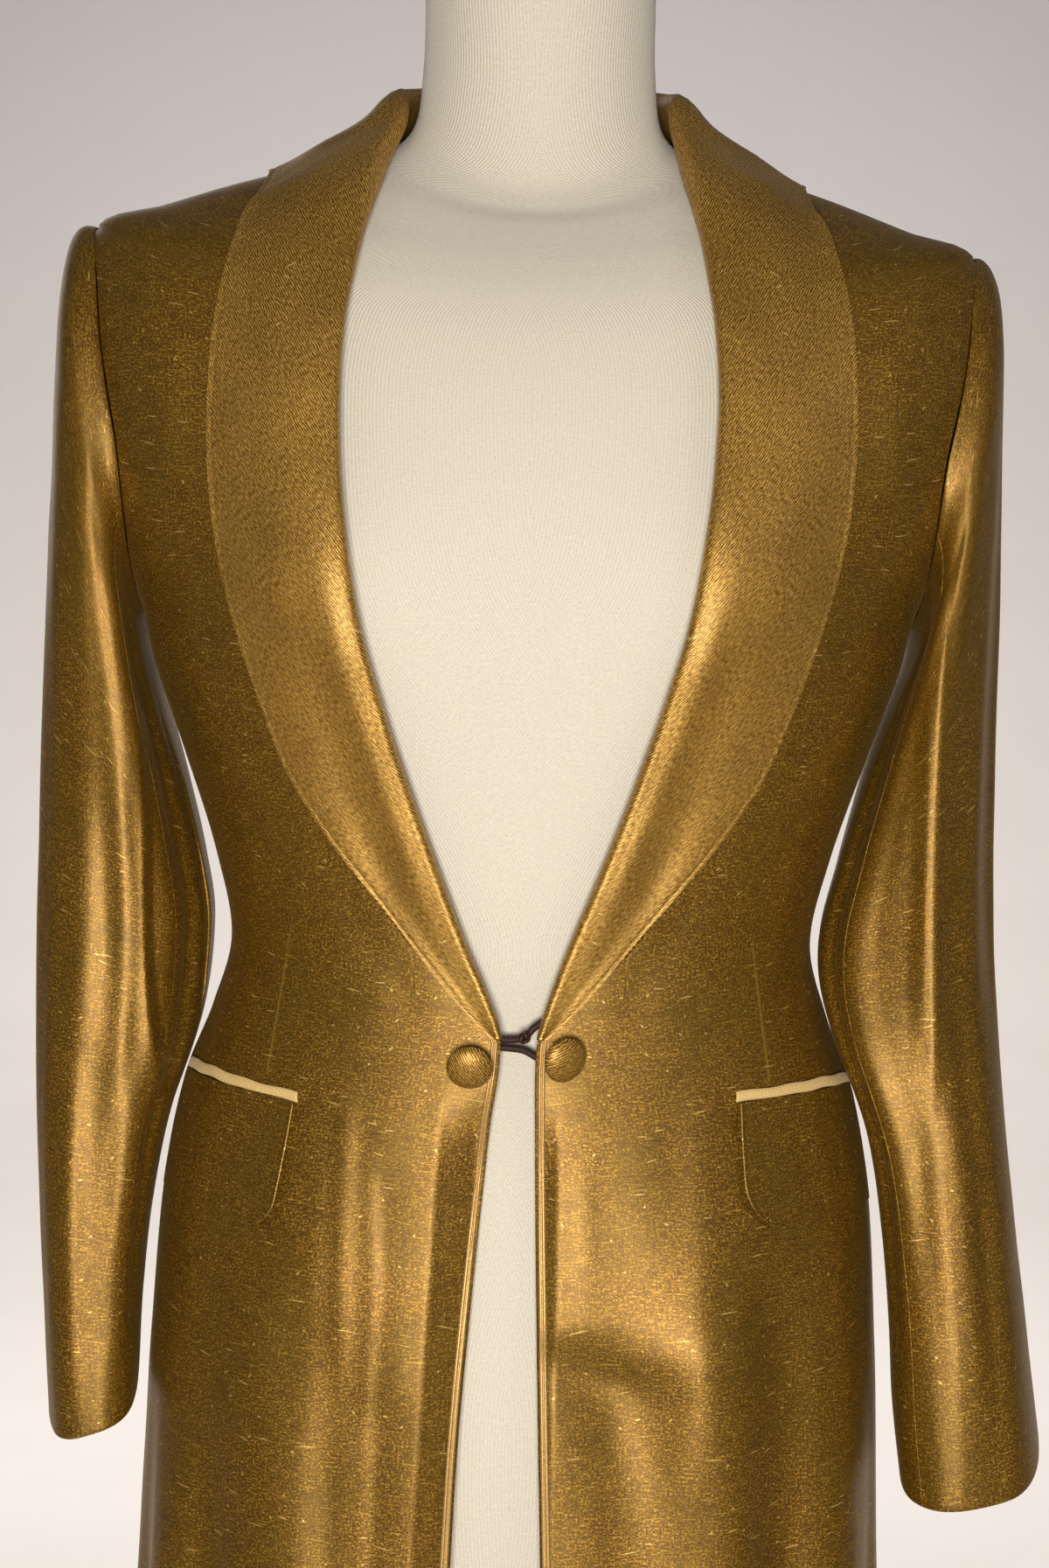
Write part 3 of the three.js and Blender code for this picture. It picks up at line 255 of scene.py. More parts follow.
def ringValue(rings, column, level):
    name = (id(rings), column, "ring")
    if name not in curveStore:
        values = np.array([ring[column] for ring in rings], float)
        curveStore[name] = curveOf(np.arange(len(rings), dtype=float), values)
    return onCurve(curveStore[name], level)


def smoothStep(value, low, high):
    s = np.clip((value - low) / (high - low), 0, 1)
    return s * s * (3 - 2 * s)


def unitVectors(vectors):
    return vectors / (np.linalg.norm(vectors, axis=-1, keepdims=True) + 1e-12)


def lengthAlong(points):
    return np.concatenate([[0], np.cumsum(np.linalg.norm(np.diff(points, axis=0), axis=1))])


def hill(distance, width):
    return np.where(np.abs(distance) < width, np.cos(np.pi / 2 * distance / width) ** 2, 0)


def bumpAt(distance, shape):
    place, width, height = shape
    return height * np.exp(-(((distance - place) / width) ** 2))


def crossing(rises, low, high, count):
    # Halves a stretch until it finds where a rising value passes zero
    a = np.full(count, float(low))
    b = np.full(count, float(high))
    for step in range(26):
        middle = (a + b) / 2
        up = rises(middle) > 0
        b = np.where(up, middle, b)
        a = np.where(up, a, middle)
    return (a + b) / 2


def plainBody(rings, t, level):
    # A point of the wearer's left half, t from 0 at the front middle to pi at the back middle
    power = 2 / ringValue(rings, 6, level)
    sine, cosine = np.sin(t), np.cos(t)
    ahead = cosine > 0
    x = ringValue(rings, 3, level) * np.sign(sine) * np.abs(sine) ** power
    zEnd = np.where(ahead, ringValue(rings, 0, level), ringValue(rings, 2, level))
    z = zEnd + (ringValue(rings, 1, level) - zEnd) * sine * sine
    reach = np.where(ahead, -ringValue(rings, 4, level), ringValue(rings, 5, level))
    y = reach * np.abs(cosine) ** power
    aside, above = (x - bust["x"]) / bust["width"], (z - bust["z"]) / bust["tall"]
    y = np.where(ahead, y - bust["height"] * np.exp(-(aside**2) - above**2), y)
    return np.stack([x, y, z], -1)


def droop(side, x, z):
    return shoulderDrop[side] * smoothStep(x, 60, 196) * smoothStep(z, 1230, 1385)


def skirtFold(side, t, z):
    angle = np.degrees(t)
    down = np.clip((skirtTop - z) / (skirtTop - hemHeight), 0, 1)
    out = np.zeros_like(z)
    for foldSide, waist, hem, width, height, start in skirtFolds:
        if foldSide in (side, "both"):
            grown = np.clip((start - z) / 160, 0, 1) ** 1.3 * (0.7 + 0.8 * down)
            out += height * grown * hill(angle - (waist + (hem - waist) * down), width)
    return out


# Creases of the finished cloth: side, path of distance from the middle and height, width, height of the bump
frontCreases = [
    ("right", [(73, 1004), (72, 966), (70, 900)], 4.4, 1.0), ("right", [(82, 985), (81, 930)], 4, 0.4),
    ("right", [(108, 930), (114, 870), (114, 790)], 13, 2.2),
    ("right", [(90, 920), (92, 820), (94, 700)], 12, -1.8),
    ("right", [(67, 870), (67, 830), (70, 760)], 8, 1.1),
    ("right", [(138, 900), (141, 800), (145, 700)], 11, -1.5),
    ("right", [(48, 880), (44, 800), (42, 700)], 11, -1.0),
    ("left", [(28, 985), (30, 930)], 5, 0.4),
    ("left", [(77, 1010), (78, 950), (74, 890), (70, 840)], 8, 1.1),
    ("left", [(50, 1006), (52, 960)], 8, 0.3),
    ("left", [(84, 920), (86, 860), (92, 800), (98, 700)], 22, 3.4),
    ("left", [(28, 905), (46, 885), (60, 851), (68, 817), (78, 700)], 26, -6.5),
    ("left", [(108, 930), (112, 840), (116, 730)], 12, -1.6),
    ("left", [(136, 950), (140, 850), (146, 730)], 11, 1.5), ("left", [(115, 1001), (115, 990)], 2.6, 0.3),
    ("left", [(130, 1001), (129, 988)], 2.8, 0.3), ("left", [(104, 1003), (104, 990)], 3, -0.3),
    ("both", [(150, 1330), (160, 1270), (168, 1215)], 7, 0.6),
    ("both", [(166, 1290), (158, 1215), (150, 1150)], 8, -0.6),
    ("both", [(133, 1240), (128, 1170), (122, 1110)], 9, 0.5),
    ("left", [(96, 1150), (70, 1090), (48, 1050)], 9, -0.5),
    ("right", [(98, 1140), (72, 1085), (46, 1048)], 9, -0.6),
    ("right", [(120, 1110), (128, 1070), (130, 1030)], 8, 0.5),
]
# A sharp step, where one fold lies over the next: the cloth beyond the path sinks
frontSteps = [("right", [(61, 990), (60, 971), (57, 930), (59, 885), (60, 818), (62, 730)], -0.9, 22)]
# From these paths the cloth falls back towards the front edge: slope and the most that it falls
frontTurns = {
    "right": {
        "path": [(32, 1024), (34, 985), (35, 940), (37, 890), (40, 830), (42, 700)],
        "slope": 0.56, "most": 9,
    },
    "left": {"path": [(18, 1020), (18, 930), (17, 850), (18, 700)], "slope": 0.5, "most": 4},
}


# How far the skirt stands out below the fastening, and the heights between which it grows
skirtFlare = {"most": 7, "low": 880, "high": 1018}
# A broad fold on each front: distance from the middle, width, how far it stands out
frontSwell = {"left": (90, 38, 4.5), "right": (68, 27, 3.2)}
# Heights between which the front edges turn in, and between which the broad folds grow
turnHeights = (972, 1022)
swellHeights = (930, 1010)


def pathAt(path, z):
    # A path's distance from the middle at a height
    places, heights = np.array(path[::-1], float).T
    return np.interp(z, heights, places)


def fadedIn(z, low, below, above):
    return smoothStep(z, low - below, low + above)


def alongCrease(path, x, z, width):
    # How much of a crease is felt at a place, fading out at both ends
    fade = fadedIn(z, path[-1][1], 34, 22) * (1 - fadedIn(z, path[0][1], 16, 14))
    return np.exp(-(((x - pathAt(path, z)) / width) ** 2)) * fade


def restCrease(side, x, z, ahead):
    out = np.zeros_like(z)
    for creaseSide, path, width, bump in frontCreases:
        if creaseSide in (side, "both"):
            out += bump * alongCrease(path, x, z, width)
    for stepSide, path, bump, reach in frontSteps:
        if stepSide == side:
            past = pathAt(path, z) - x
            fade = fadedIn(z, path[-1][1], 30, 30) * (1 - fadedIn(z, path[0][1], 30, 0))
            out += bump * smoothStep(past, -1, 4) * (1 - smoothStep(past, 4, reach)) * fade
    # Below the fastening the skirt flares, and the front edges turn in
    flare = 1 - smoothStep(z, skirtFlare["low"], skirtFlare["high"])
    out += skirtFlare["most"] * flare * smoothStep(ahead, 0.1, 0.6)
    turn = frontTurns[side]
    fallen = np.maximum(pathAt(turn["path"], z) - x, 0)
    fallen = fallen * smoothStep(fallen, -2, 3)
    out -= np.minimum(fallen * turn["slope"], turn["most"]) * (1 - smoothStep(z, *turnHeights))
    out += bumpAt(x, frontSwell[side]) * (1 - smoothStep(z, *swellHeights))
    return out * smoothStep(ahead, 0.05, 0.3)


def ripple(seed, a, b, longest, amount):
    # A soft unevenness over a surface whose two distances are in millimetres
    pick = random.Random(seed)
    out = np.zeros_like(a)
    for octave in range(5):
        length = longest / 1.45 ** octave
        turn = pick.uniform(0, math.pi)
        phase = pick.uniform(0, 6.28)
        sway = pick.uniform(0.6, 1.4)
        along = (a * math.cos(turn) + b * math.sin(turn)) * 6.283 / length
        wave = np.sin(along + phase + sway * np.sin(b / length * 2.1))
        out += wave * amount / 1.35 ** octave
    return out / 3


def coatAt(side, t, level, fine=True):
    plain = plainBody(coatRings, t, level)
    x, y, z = plain[..., 0], plain[..., 1], plain[..., 2].copy()
    out = skirtFold(side, t, z)
    if fine:
        out = out + restCrease(side, x, z, np.cos(t))
        around = t * 150
        seed = 11 if side == "left" else 23
        out = out + ripple(seed, around, z * 0.55, 120, 0.55) * smoothStep(z, 1445, 1400)
    z = z - droop(side, x, z)
    ring = np.clip(np.round(level), 0, len(coatRings) - 1)
    half = ringValue(coatRings, 3, ring)
    reach = np.where(y < 0, ringValue(coatRings, 4, ring), ringValue(coatRings, 5, ring))
    away = unitVectors(np.stack([x / half**2, y / reach**2, np.zeros_like(x)], -1))
    return np.stack([x, y, z], -1) + away * out[..., None]


def onCoat(side, t, level, raised=0.0, fine=True):
    step = 0.004
    alongT = coatAt(side, t + step, level, fine) - coatAt(side, t - step, level, fine)
    up = np.minimum(level + step, len(coatRings) - 1)
    down = np.maximum(level - step, 0)
    alongLevel = coatAt(side, t, up, fine) - coatAt(side, t, down, fine)
    normal = unitVectors(np.cross(alongT, alongLevel))
    raised = np.asarray(raised, float)
    return coatAt(side, t, level, fine) + normal * (raised[..., None] if raised.ndim else raised)


def moved(side, t, level, distance):
    step = 0.01
    ahead = coatAt(side, t + step, level, False)
    behind = coatAt(side, t - step, level, False)
    return t + distance / (np.linalg.norm(ahead - behind, axis=-1) / (2 * step))


def frontAngle(distance, level):
    def beyond(t):
        point = plainBody(coatRings, t, level)
        return point[..., 0] - distance(point[..., 2])
    return crossing(beyond, 0, np.pi / 2, len(level))


def rollAt(side, z):
    return readCurve(lapel, 1, z) + rollShift[side] * np.clip((z - 1042) / 30, 0, 1)


def seamAngle(column, level):
    return np.radians(readCurve(seams, column, ringValue(coatRings, 1, level)))


def frontInner(side, level):
    def edge(z):
        free = readCurve(frontEdge, 1 if side == "left" else 2, z)
        opened = np.where(z < buttonLevel, free, rollAt(side, z))
        return opened + 3.3 * np.clip((z - buttonLevel) / 4, 0, 1) + 3.2 * np.clip((z - 1370) / 26, 0, 1)
    return frontAngle(edge, level)


def armholeFront(level):
    found = frontAngle(lambda z: readCurve(armhole, 1, z), level)
    return np.where((level <= armpitLevel) | (level >= tipLevel - 0.01), np.pi / 2, found)


def armholeBack(level):
    def beyond(t):
        point = plainBody(coatRings, t, level)
        return readCurve(armhole, 1, point[..., 2]) - point[..., 0]
    found = crossing(beyond, np.pi / 2, np.pi - 0.2, len(level))
    return np.where((level <= armpitLevel) | (level >= tipLevel - 0.01), np.pi / 2, found)


def armholeFloor(t):
    t = np.asarray(t, float)
    ahead = crossing(lambda level: t - armholeFront(level), armpitLevel, bladeLevel, len(t))
    behind = crossing(lambda level: armholeBack(level) - t, armpitLevel, bladeLevel, len(t))
    return np.where(t < np.pi / 2, ahead, behind)


frontCorner = armholeFloor([math.radians(80)])[0]
backCorner = armholeFloor([math.radians(112)])[0]

def gathered(share, amount=0.6):
    # Columns closer together near both edges of a piece
    return share - amount * np.sin(2 * np.pi * share) / (2 * np.pi)


def perRow(level, read):
    # Reads a value once for each row of a grid
    rows, back = np.unique(level, return_inverse=True)
    return read(rows)[back]


# Meshes


def objectFrom(name, bm):
    for face in bm.faces:
        face.smooth = True
    mesh = bpy.data.meshes.new(name)
    bm.to_mesh(mesh)
    bm.free()
    return linked(name, mesh)


def linked(name, mesh):
    piece = bpy.data.objects.new(name, mesh)
    bpy.context.collection.objects.link(piece)
    return piece


def spin(bm, profile, steps, size):
    # Turns a profile of radii and heights round the axis
    verts = [bm.verts.new((radius * size, 0, height * size)) for radius, height in profile]
    edges = [bm.edges.new(pair) for pair in zip(verts, verts[1:])]
    ends = {"cent": (0, 0, 0), "axis": (0, 0, 1), "angle": math.tau}
    bmesh.ops.spin(bm, geom=verts + edges, steps=steps, use_merge=True, **ends)
    bmesh.ops.remove_doubles(bm, verts=bm.verts, dist=0.001 * size)
    bmesh.ops.recalc_face_normals(bm, faces=bm.faces)


def gridObject(name, columns, rows, place, flip=False, closed=False):
    # A grid whose points are set by place(across, along), with a UV map in metres along the cloth
    bm = bmesh.new()
    bmesh.ops.create_grid(bm, x_segments=columns, y_segments=rows, size=1)
    bm.verts.ensure_lookup_table()
    flat = np.array([vert.co[:2] for vert in bm.verts])
    share = (flat - flat.min(axis=0)) / (flat.max(axis=0) - flat.min(axis=0))
    points = place(share[:, 0], share[:, 1])
    if flip:
        points = points * np.array([-1, 1, 1])
    points = points * unit
    for vert, point in zip(bm.verts, points):
        vert.co = point
    col = np.rint(share[:, 0] * columns).astype(int)
    line = np.rint(share[:, 1] * rows).astype(int)
    table = np.zeros((rows + 1, columns + 1, 3))
    table[line, col] = points
    across = np.cumsum(np.linalg.norm(np.diff(table, axis=1), axis=2), axis=1)
    across = np.concatenate([np.zeros((rows + 1, 1)), across], 1)
    across -= across[:, (columns + 1) // 2][:, None]
    along = np.concatenate([[0], np.cumsum(np.linalg.norm(np.diff(table, axis=0), axis=2).mean(axis=1))])
    uvLayer = bm.loops.layers.uv.new("cloth")
    for face in bm.faces:
        for loop in face.loops:
            k = loop.vert.index
            loop[uvLayer].uv = (across[line[k], col[k]], along[line[k]])
    if flip:
        bmesh.ops.reverse_faces(bm, faces=bm.faces)
    if closed:
        bmesh.ops.remove_doubles(bm, verts=bm.verts, dist=1e-6)
    return objectFrom(name, bm)


def soften(piece, width, segments, angle):
    soft = piece.modifiers.new("softEdge", "BEVEL")
    soft.width = width * unit
    soft.segments = segments
    soft.limit_method = "ANGLE"
    soft.angle_limit = math.radians(angle)
    return soft


def giveThickness(piece, thickness, rounding=0.0, offset=-1, segments=2):
    wall = piece.modifiers.new("wall", "SOLIDIFY")
    wall.thickness = thickness * unit
    wall.offset = offset
    if rounding:
        soften(piece, rounding, segments, 50)


def finishPiece(piece, material, slot, *nodes):
    piece.data.materials.clear()
    piece.data.materials.append(material)
    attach(piece, "root")
    if nodes:
        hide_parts(*nodes)


def clothPiece(kind, side, grid, place, wall, look, **cut):
    # A cut piece of one side, with its grid, its wall and rounding, and its material. The slot that comes
    # with the material is not used, nor are the flat sizes.
    node = kind + "_" + side
    piece = gridObject(node + "_cloth", *grid, place, flip=side == "right")
    giveThickness(piece, *wall)
    finishPiece(piece, *look, node)


# Materials


def srgb(r, g, b):
    return [((c / 255 + 0.055) / 1.055) ** 2.4 if c > 10 else c / 255 / 12.92 for c in (r, g, b)] + [1]


class Shading:
    # Builds a node material line by line
    def __init__(self, name):
        self.material = bpy.data.materials.new(name)
        self.material.use_nodes = True
        self.tree = self.material.node_tree
        self.surface = self.tree.nodes["Principled BSDF"]

    def put(self, socket, value):
        if isinstance(value, bpy.types.NodeSocket):
            self.tree.links.new(value, socket)
        else:
            socket.default_value = value

    def node(self, kind, settings=None, **inputs):
        made = self.tree.nodes.new(kind)
        for key, value in (settings or {}).items():
            setattr(made, key, value)
        for key, value in inputs.items():
            if key[0] == "i" and key[1:].isdigit():
                self.put(made.inputs[int(key[1:])], value)
            else:
                self.put(made.inputs[key], value)
        return made

    def math(self, operation, *values):
        inputs = {f"i{k}": value for k, value in enumerate(values)}
        return self.node("ShaderNodeMath", {"operation": operation}, **inputs).outputs[0]

    def vector(self, operation, a, b):
        return self.node("ShaderNodeVectorMath", {"operation": operation}, i0=a, i1=b).outputs[0]

    def add(self, a, b):
        return self.math("ADD", a, b)

    def times(self, a, b):
        return self.math("MULTIPLY", a, b)

    def parts(self, vector):
        return self.node("ShaderNodeSeparateXYZ", Vector=vector).outputs

    def turned(self, vector, angle):
        settings = {"rotation_type": "Z_AXIS"}
        return self.node("ShaderNodeVectorRotate", settings, Vector=vector, Angle=angle).outputs[0]

    def clothPlace(self):
        return self.node("ShaderNodeUVMap", {"uv_map": "cloth"}).outputs[0]

    def objectPlace(self):
        return self.node("ShaderNodeTexCoord").outputs["Object"]

    def noise(self, at, scale, detail, rough):
        made = self.node("ShaderNodeTexNoise", Vector=at, Scale=scale, Detail=detail, Roughness=rough)
        return made.outputs["Fac"]

    def weave(self, at, across, along, deep=1, detail=2, rough=0.6):
        # Fine noise with so many grains to the metre each way
        return self.noise(self.vector("MULTIPLY", at, Vector((across, along, deep))), 1, detail, rough)

    def range(self, value, low, high, toLow=0.0, toHigh=1.0, smooth=False):
        kind = {"interpolation_type": "SMOOTHSTEP" if smooth else "LINEAR"}
        ends = {"i1": low, "i2": high, "i3": toLow, "i4": toHigh}
        return self.node("ShaderNodeMapRange", kind, i0=value, **ends).outputs[0]

    def mix(self, share, a, b):
        return self.node("ShaderNodeMix", {"data_type": "RGBA"}, i0=share, i6=a, i7=b).outputs[2]

    def bump(self, height, distance, strength):
        return self.node("ShaderNodeBump", Height=height, Distance=distance, Strength=strength).outputs[0]

    def slubs(self, at, cell, length, width, amount, lean):
        # Short thickened threads, one at most in each cell, measured in metres
        scaled = self.vector("MULTIPLY", at, Vector((1 / cell[0], 1 / cell[1], 1)))
        flat = {"voronoi_dimensions": "2D"}
        cells = self.node("ShaderNodeTexVoronoi", flat, Vector=scaled, Scale=1.0, Randomness=1.0)
        away = self.vector("SUBTRACT", scaled, cells.outputs["Position"])
        real = self.vector("MULTIPLY", away, Vector((cell[0], cell[1], 1)))
        chance = self.node("ShaderNodeSeparateColor", Color=cells.outputs["Color"])
        turn = self.times(self.math("SUBTRACT", chance.outputs[0], 0.5), lean * 2)
        reach = self.range(chance.outputs[1], 0, 1, 0.4, 1.3)
        parts = self.parts(self.turned(real, turn))
        across = self.math("DIVIDE", parts[0], self.times(reach, length))
        down = self.math("DIVIDE", parts[1], width)
        far = self.add(self.times(across, across), self.times(down, down))
        shown = self.math("LESS_THAN", chance.outputs[2], amount)
        return self.times(self.range(far, 1.0, 0.1, smooth=True), shown)

    def finish(self, **sockets):
        for key, value in sockets.items():
            self.put(self.surface.inputs[key.replace("_", " ")], value)
        return self.material


clothGloss = {
    "Sheen_Weight": 0.06, "Sheen_Roughness": 0.4, "Specular_IOR_Level": 0.5,
    "Coat_Weight": 0.12, "Coat_Roughness": 0.42,
}
silkLook = {
    "deep": srgb(74, 44, 0), "mid": srgb(136, 94, 8), "light": srgb(220, 174, 70),
    "slub": srgb(244, 204, 118), "olive": srgb(100, 80, 8),
    "roughness": 0.48, "metallic": 0.62, "twill": 0.0011, "twillAngle": -58,
    "longSlub": {"cell": (0.026, 0.012), "length": 0.0042, "width": 0.00034, "amount": 0.32, "lean": 0.16},
    "thinSlub": {"cell": (0.02, 0.008), "length": 0.0065, "width": 0.00026, "amount": 0.45, "lean": 0.12},
    "nub": {"cell": (0.017, 0.014), "length": 0.0011, "width": 0.00055, "amount": 0.45, "lean": 1.0},
    "dartGrooveAndHighlight": {"low": 1.016, "high": 1.1, "foot": 0.1085, "tip": 0.0965, "width": 0.0011},
}


def slubbedSilk(name, look):
    sh = Shading(name)
    uv = sh.clothPlace()
    at = sh.objectPlace()
    grain = sh.weave(uv, 920, 1080, detail=3, rough=0.65)
    thread = sh.weave(uv, 190, 1500)
    warp = sh.weave(uv, 1500, 120)
    cloud = sh.weave(uv, 24, 18, detail=4, rough=0.6)
    patch = sh.weave(uv, 70, 110, detail=3, rough=0.6)
    leaned = sh.turned(uv, -0.12)
    longSlub = sh.slubs(leaned, **look["longSlub"])
    aside = sh.vector("ADD", leaned, Vector((3.3, 1.7, 0)))
    thinSlub = sh.slubs(aside, **look["thinSlub"])
    apart = sh.vector("ADD", uv, Vector((1.1, 4.2, 0)))
    nub = sh.slubs(apart, **look["nub"])
    line = sh.parts(sh.turned(uv, math.radians(look["twillAngle"])))[0]
    wobble = sh.times(sh.weave(uv, 300, 300), 7)
    phase = sh.add(sh.times(line, 6.2832 / look["twill"]), wobble)
    twillLine = sh.range(sh.math("SINE", phase), -1, 1)
    threads = sh.add(sh.times(thread, 0.24), sh.times(warp, 0.14))
    tone = sh.add(sh.times(grain, 0.62), threads)
    colour = sh.mix(sh.range(tone, 0.44, 0.55), look["deep"], look["mid"])
    colour = sh.mix(sh.range(tone, 0.53, 0.64, 0, 0.85), colour, look["light"])
    colour = sh.mix(sh.times(twillLine, 0.1), colour, look["light"])
    colour = sh.mix(sh.range(cloud, 0.35, 0.7, 0, 0.5), colour, look["olive"])
    colour = sh.mix(sh.range(patch, 0.5, 0.75, 0, 0.35), colour, look["deep"])
    colour = sh.mix(sh.times(thinSlub, 0.3), colour, look["light"])
    knots = sh.math("MAXIMUM", longSlub, nub)
    colour = sh.mix(sh.times(knots, 0.55), colour, look["slub"])
    raised = sh.add(knots, sh.times(thinSlub, 0.4))
    height = sh.add(sh.add(tone, sh.times(twillLine, 0.12)), raised)
    # Darts that run down to the pockets: a thin line sunk by the bump, with a painted highlight along it
    x, y, z = sh.parts(at)[:3]
    line = look["dartGrooveAndHighlight"]
    middle = sh.range(z, line["low"], line["high"], line["foot"], line["tip"])
    side = sh.math("SUBTRACT", sh.math("ABSOLUTE", x), middle)
    inReach = sh.times(sh.range(z, line["low"] - 0.002, line["low"]), sh.range(z, 1.085, 1.06))
    inReach = sh.times(inReach, sh.math("LESS_THAN", y, -0.03))
    dartGrooveAndHighlight = sh.times(sh.range(sh.math("ABSOLUTE", side), line["width"], 0.0, smooth=True), inReach)
    # Painted highlight: the colour along each dart line is lifted towards the light tone
    colour = sh.mix(sh.times(dartGrooveAndHighlight, 0.25), colour, look["light"])
    height = sh.math("SUBTRACT", height, sh.times(dartGrooveAndHighlight, 0.6))
    normal = sh.bump(height, 0.0004, 0.12)
    rough = sh.range(grain, 0.3, 0.7, look["roughness"] - 0.06, look["roughness"] + 0.08)
    return sh.finish(
        Base_Color=colour, Roughness=rough, Normal=normal, Metallic=look["metallic"],
        Sheen_Tint=srgb(225, 190, 120), **clothGloss,
    )


satinLook = {
    "deep": srgb(86, 54, 2), "mid": srgb(146, 103, 22), "light": srgb(230, 186, 94),
    "slub": srgb(240, 206, 136),
    "slubs": {"cell": (0.03, 0.02), "length": 0.003, "width": 0.0004, "amount": 0.35, "lean": 0.6},
    "roughness": 0.5, "metallic": 0.58, "twill": 0.00095, "lean": 33,
}


def collarSatin(name, look):
    sh = Shading(name)
    uv = sh.clothPlace()
    turned = sh.turned(uv, math.radians(look["lean"]))
    across = sh.parts(turned)[0]
    wobble = sh.weave(uv, 340, 340)
    phase = sh.add(sh.times(across, 6.2832 / look["twill"]), sh.times(wobble, 9))
    twill = sh.range(sh.math("SINE", phase), -1, 1)
    grain = sh.weave(turned, 1100, 500)
    cloud = sh.weave(uv, 26, 20, detail=4, rough=0.6)
    slub = sh.slubs(uv, **look["slubs"])
    tone = sh.add(sh.times(twill, 0.3), sh.times(grain, 0.7))
    colour = sh.mix(sh.range(tone, 0.32, 0.5), look["deep"], look["mid"])
    colour = sh.mix(sh.range(tone, 0.48, 0.72), colour, look["light"])
    colour = sh.mix(sh.range(cloud, 0.35, 0.7, 0, 0.35), colour, look["deep"])
    colour = sh.mix(sh.times(slub, 0.6), colour, look["slub"])
    height = sh.add(tone, slub)
    normal = sh.bump(height, 0.00035, 0.18)
    return sh.finish(
        Base_Color=colour, Roughness=look["roughness"], Normal=normal, Metallic=look["metallic"],
        Sheen_Tint=srgb(235, 205, 140), **clothGloss,
    )


def trimSatin(name):
    sh = Shading(name)
    uv = sh.clothPlace()
    grain = sh.weave(uv, 900, 2400)
    cloud = sh.weave(uv, 60, 60, detail=2, rough=0.5)
    colour = sh.mix(sh.range(grain, 0.3, 0.7), srgb(226, 190, 118), srgb(246, 216, 150))
    colour = sh.mix(sh.range(cloud, 0.4, 0.75, 0, 0.4), colour, srgb(226, 186, 112))
    weave = sh.weave(uv, 1500, 1500)
    colour = sh.mix(sh.range(weave, 0.4, 0.7, 0, 0.55), colour, srgb(176, 134, 62))
    normal = sh.bump(weave, 0.0003, 0.5)
    return sh.finish(Base_Color=colour, Roughness=0.5, Normal=normal, Metallic=0.1, Sheen_Weight=0.2)


def pipingSatin(name):
    sh = Shading(name)
    uv = sh.clothPlace()
    grain = sh.weave(uv, 1500, 900)
    colour = sh.mix(sh.range(grain, 0.3, 0.7), srgb(150, 112, 52), srgb(206, 166, 96))
    normal = sh.bump(grain, 0.00015, 0.4)
    return sh.finish(Base_Color=colour, Roughness=0.4, Normal=normal, Metallic=0.4, Sheen_Weight=0.2)


def braidCord(name):
    sh = Shading(name)
    at = sh.objectPlace()
    thread = sh.weave(at, 2600, 2600, 2600)
    colour = sh.mix(sh.range(thread, 0.3, 0.7), srgb(14, 6, 5), srgb(66, 26, 16))
    return sh.finish(Base_Color=colour, Roughness=0.6, Normal=sh.bump(thread, 0.0003, 0.6))


def ribbedJersey(name):
    sh = Shading(name)
    uv = sh.clothPlace()
    across, along = sh.parts(uv)[:2]
    sway = sh.weave(uv, 60, 30, detail=2, rough=0.5)
    phase = sh.add(sh.times(across, 6.2832 / 0.0016), sh.times(sway, 3))
    rib = sh.range(sh.math("SINE", phase), -1, 1)
    stitch = sh.range(sh.math("SINE", sh.times(along, 6.2832 / 0.0011)), -1, 1)
    grain = sh.weave(uv, 900, 900)
    colour = sh.mix(sh.range(grain, 0.25, 0.75), srgb(198, 186, 168), srgb(222, 213, 197))
    colour = sh.mix(sh.times(rib, 0.35), colour, srgb(232, 225, 211))
    height = sh.add(rib, sh.add(sh.times(stitch, 0.35), sh.times(grain, 0.5)))
    return sh.finish(Base_Color=colour, Roughness=0.85, Normal=sh.bump(height, 0.0003, 0.6), Sheen_Weight=0.3)


def brushedSteel(name):
    sh = Shading(name)
    at = sh.objectPlace()
    line = sh.weave(at, 90, 90, 2600, detail=3)
    smear = sh.noise(at, 18, 3, 0.6)
    colour = sh.mix(sh.range(line, 0.3, 0.7), srgb(150, 149, 147), srgb(184, 183, 180))
    rough = sh.range(smear, 0.3, 0.7, 0.24, 0.36)
    return sh.finish(Base_Color=colour, Metallic=1.0, Roughness=rough, Normal=sh.bump(line, 0.00004, 0.4))


def ivoryPaint(name):
    sh = Shading(name)
    at = sh.objectPlace()
    peel = sh.noise(at, 420, 2, 0.5)
    dust = sh.noise(at, 22, 4, 0.6)
    colour = sh.mix(sh.range(dust, 0.35, 0.75), srgb(226, 219, 205), srgb(204, 195, 178))
    rough = sh.range(dust, 0.3, 0.8, 0.34, 0.5)
    return sh.finish(Base_Color=colour, Roughness=rough, Normal=sh.bump(peel, 0.0001, 0.25), Coat_Weight=0.2)


silk = slubbedSilk("slubbedSilk", silkLook)
satin = collarSatin("collarSatin", satinLook)
trim = trimSatin("trimSatin")
piping = pipingSatin("pipingSatin")
cord = braidCord("braidCord")
jersey = ribbedJersey("ribbedJersey")
steel = brushedSteel("brushedSteel")
paint = ivoryPaint("ivoryPaint")
print("materials made")

# The coat's body

seamGap = 0.3  # left between two pieces that are sewn together
# Thickness and edge rounding of each wall. The collar's wall lies half to each side, with a rounder edge.
cloth = {
    "body": (1.8, 0.35), "sleeve": (1.6, 0.3), "collar": (1.6, 0.8, 0, 3), "jet": (1.2, 0.3),
    "flap": (1.1, 0.3), "piping": (0.7,),
}
silkCloth = (silk, "coat_silk")
satinCloth = (satin, "collar_satin")


def levelAt(share, top):
    # Rows spaced by height, so that they lie evenly along the cloth
    keys = ringValue(coatRings, 1, np.linspace(0, top, 400))
    far = np.concatenate([[0], np.cumsum(np.abs(np.diff(keys)) + 0.35)])
    return np.interp(share * far[-1], far, np.linspace(0, top, 400))


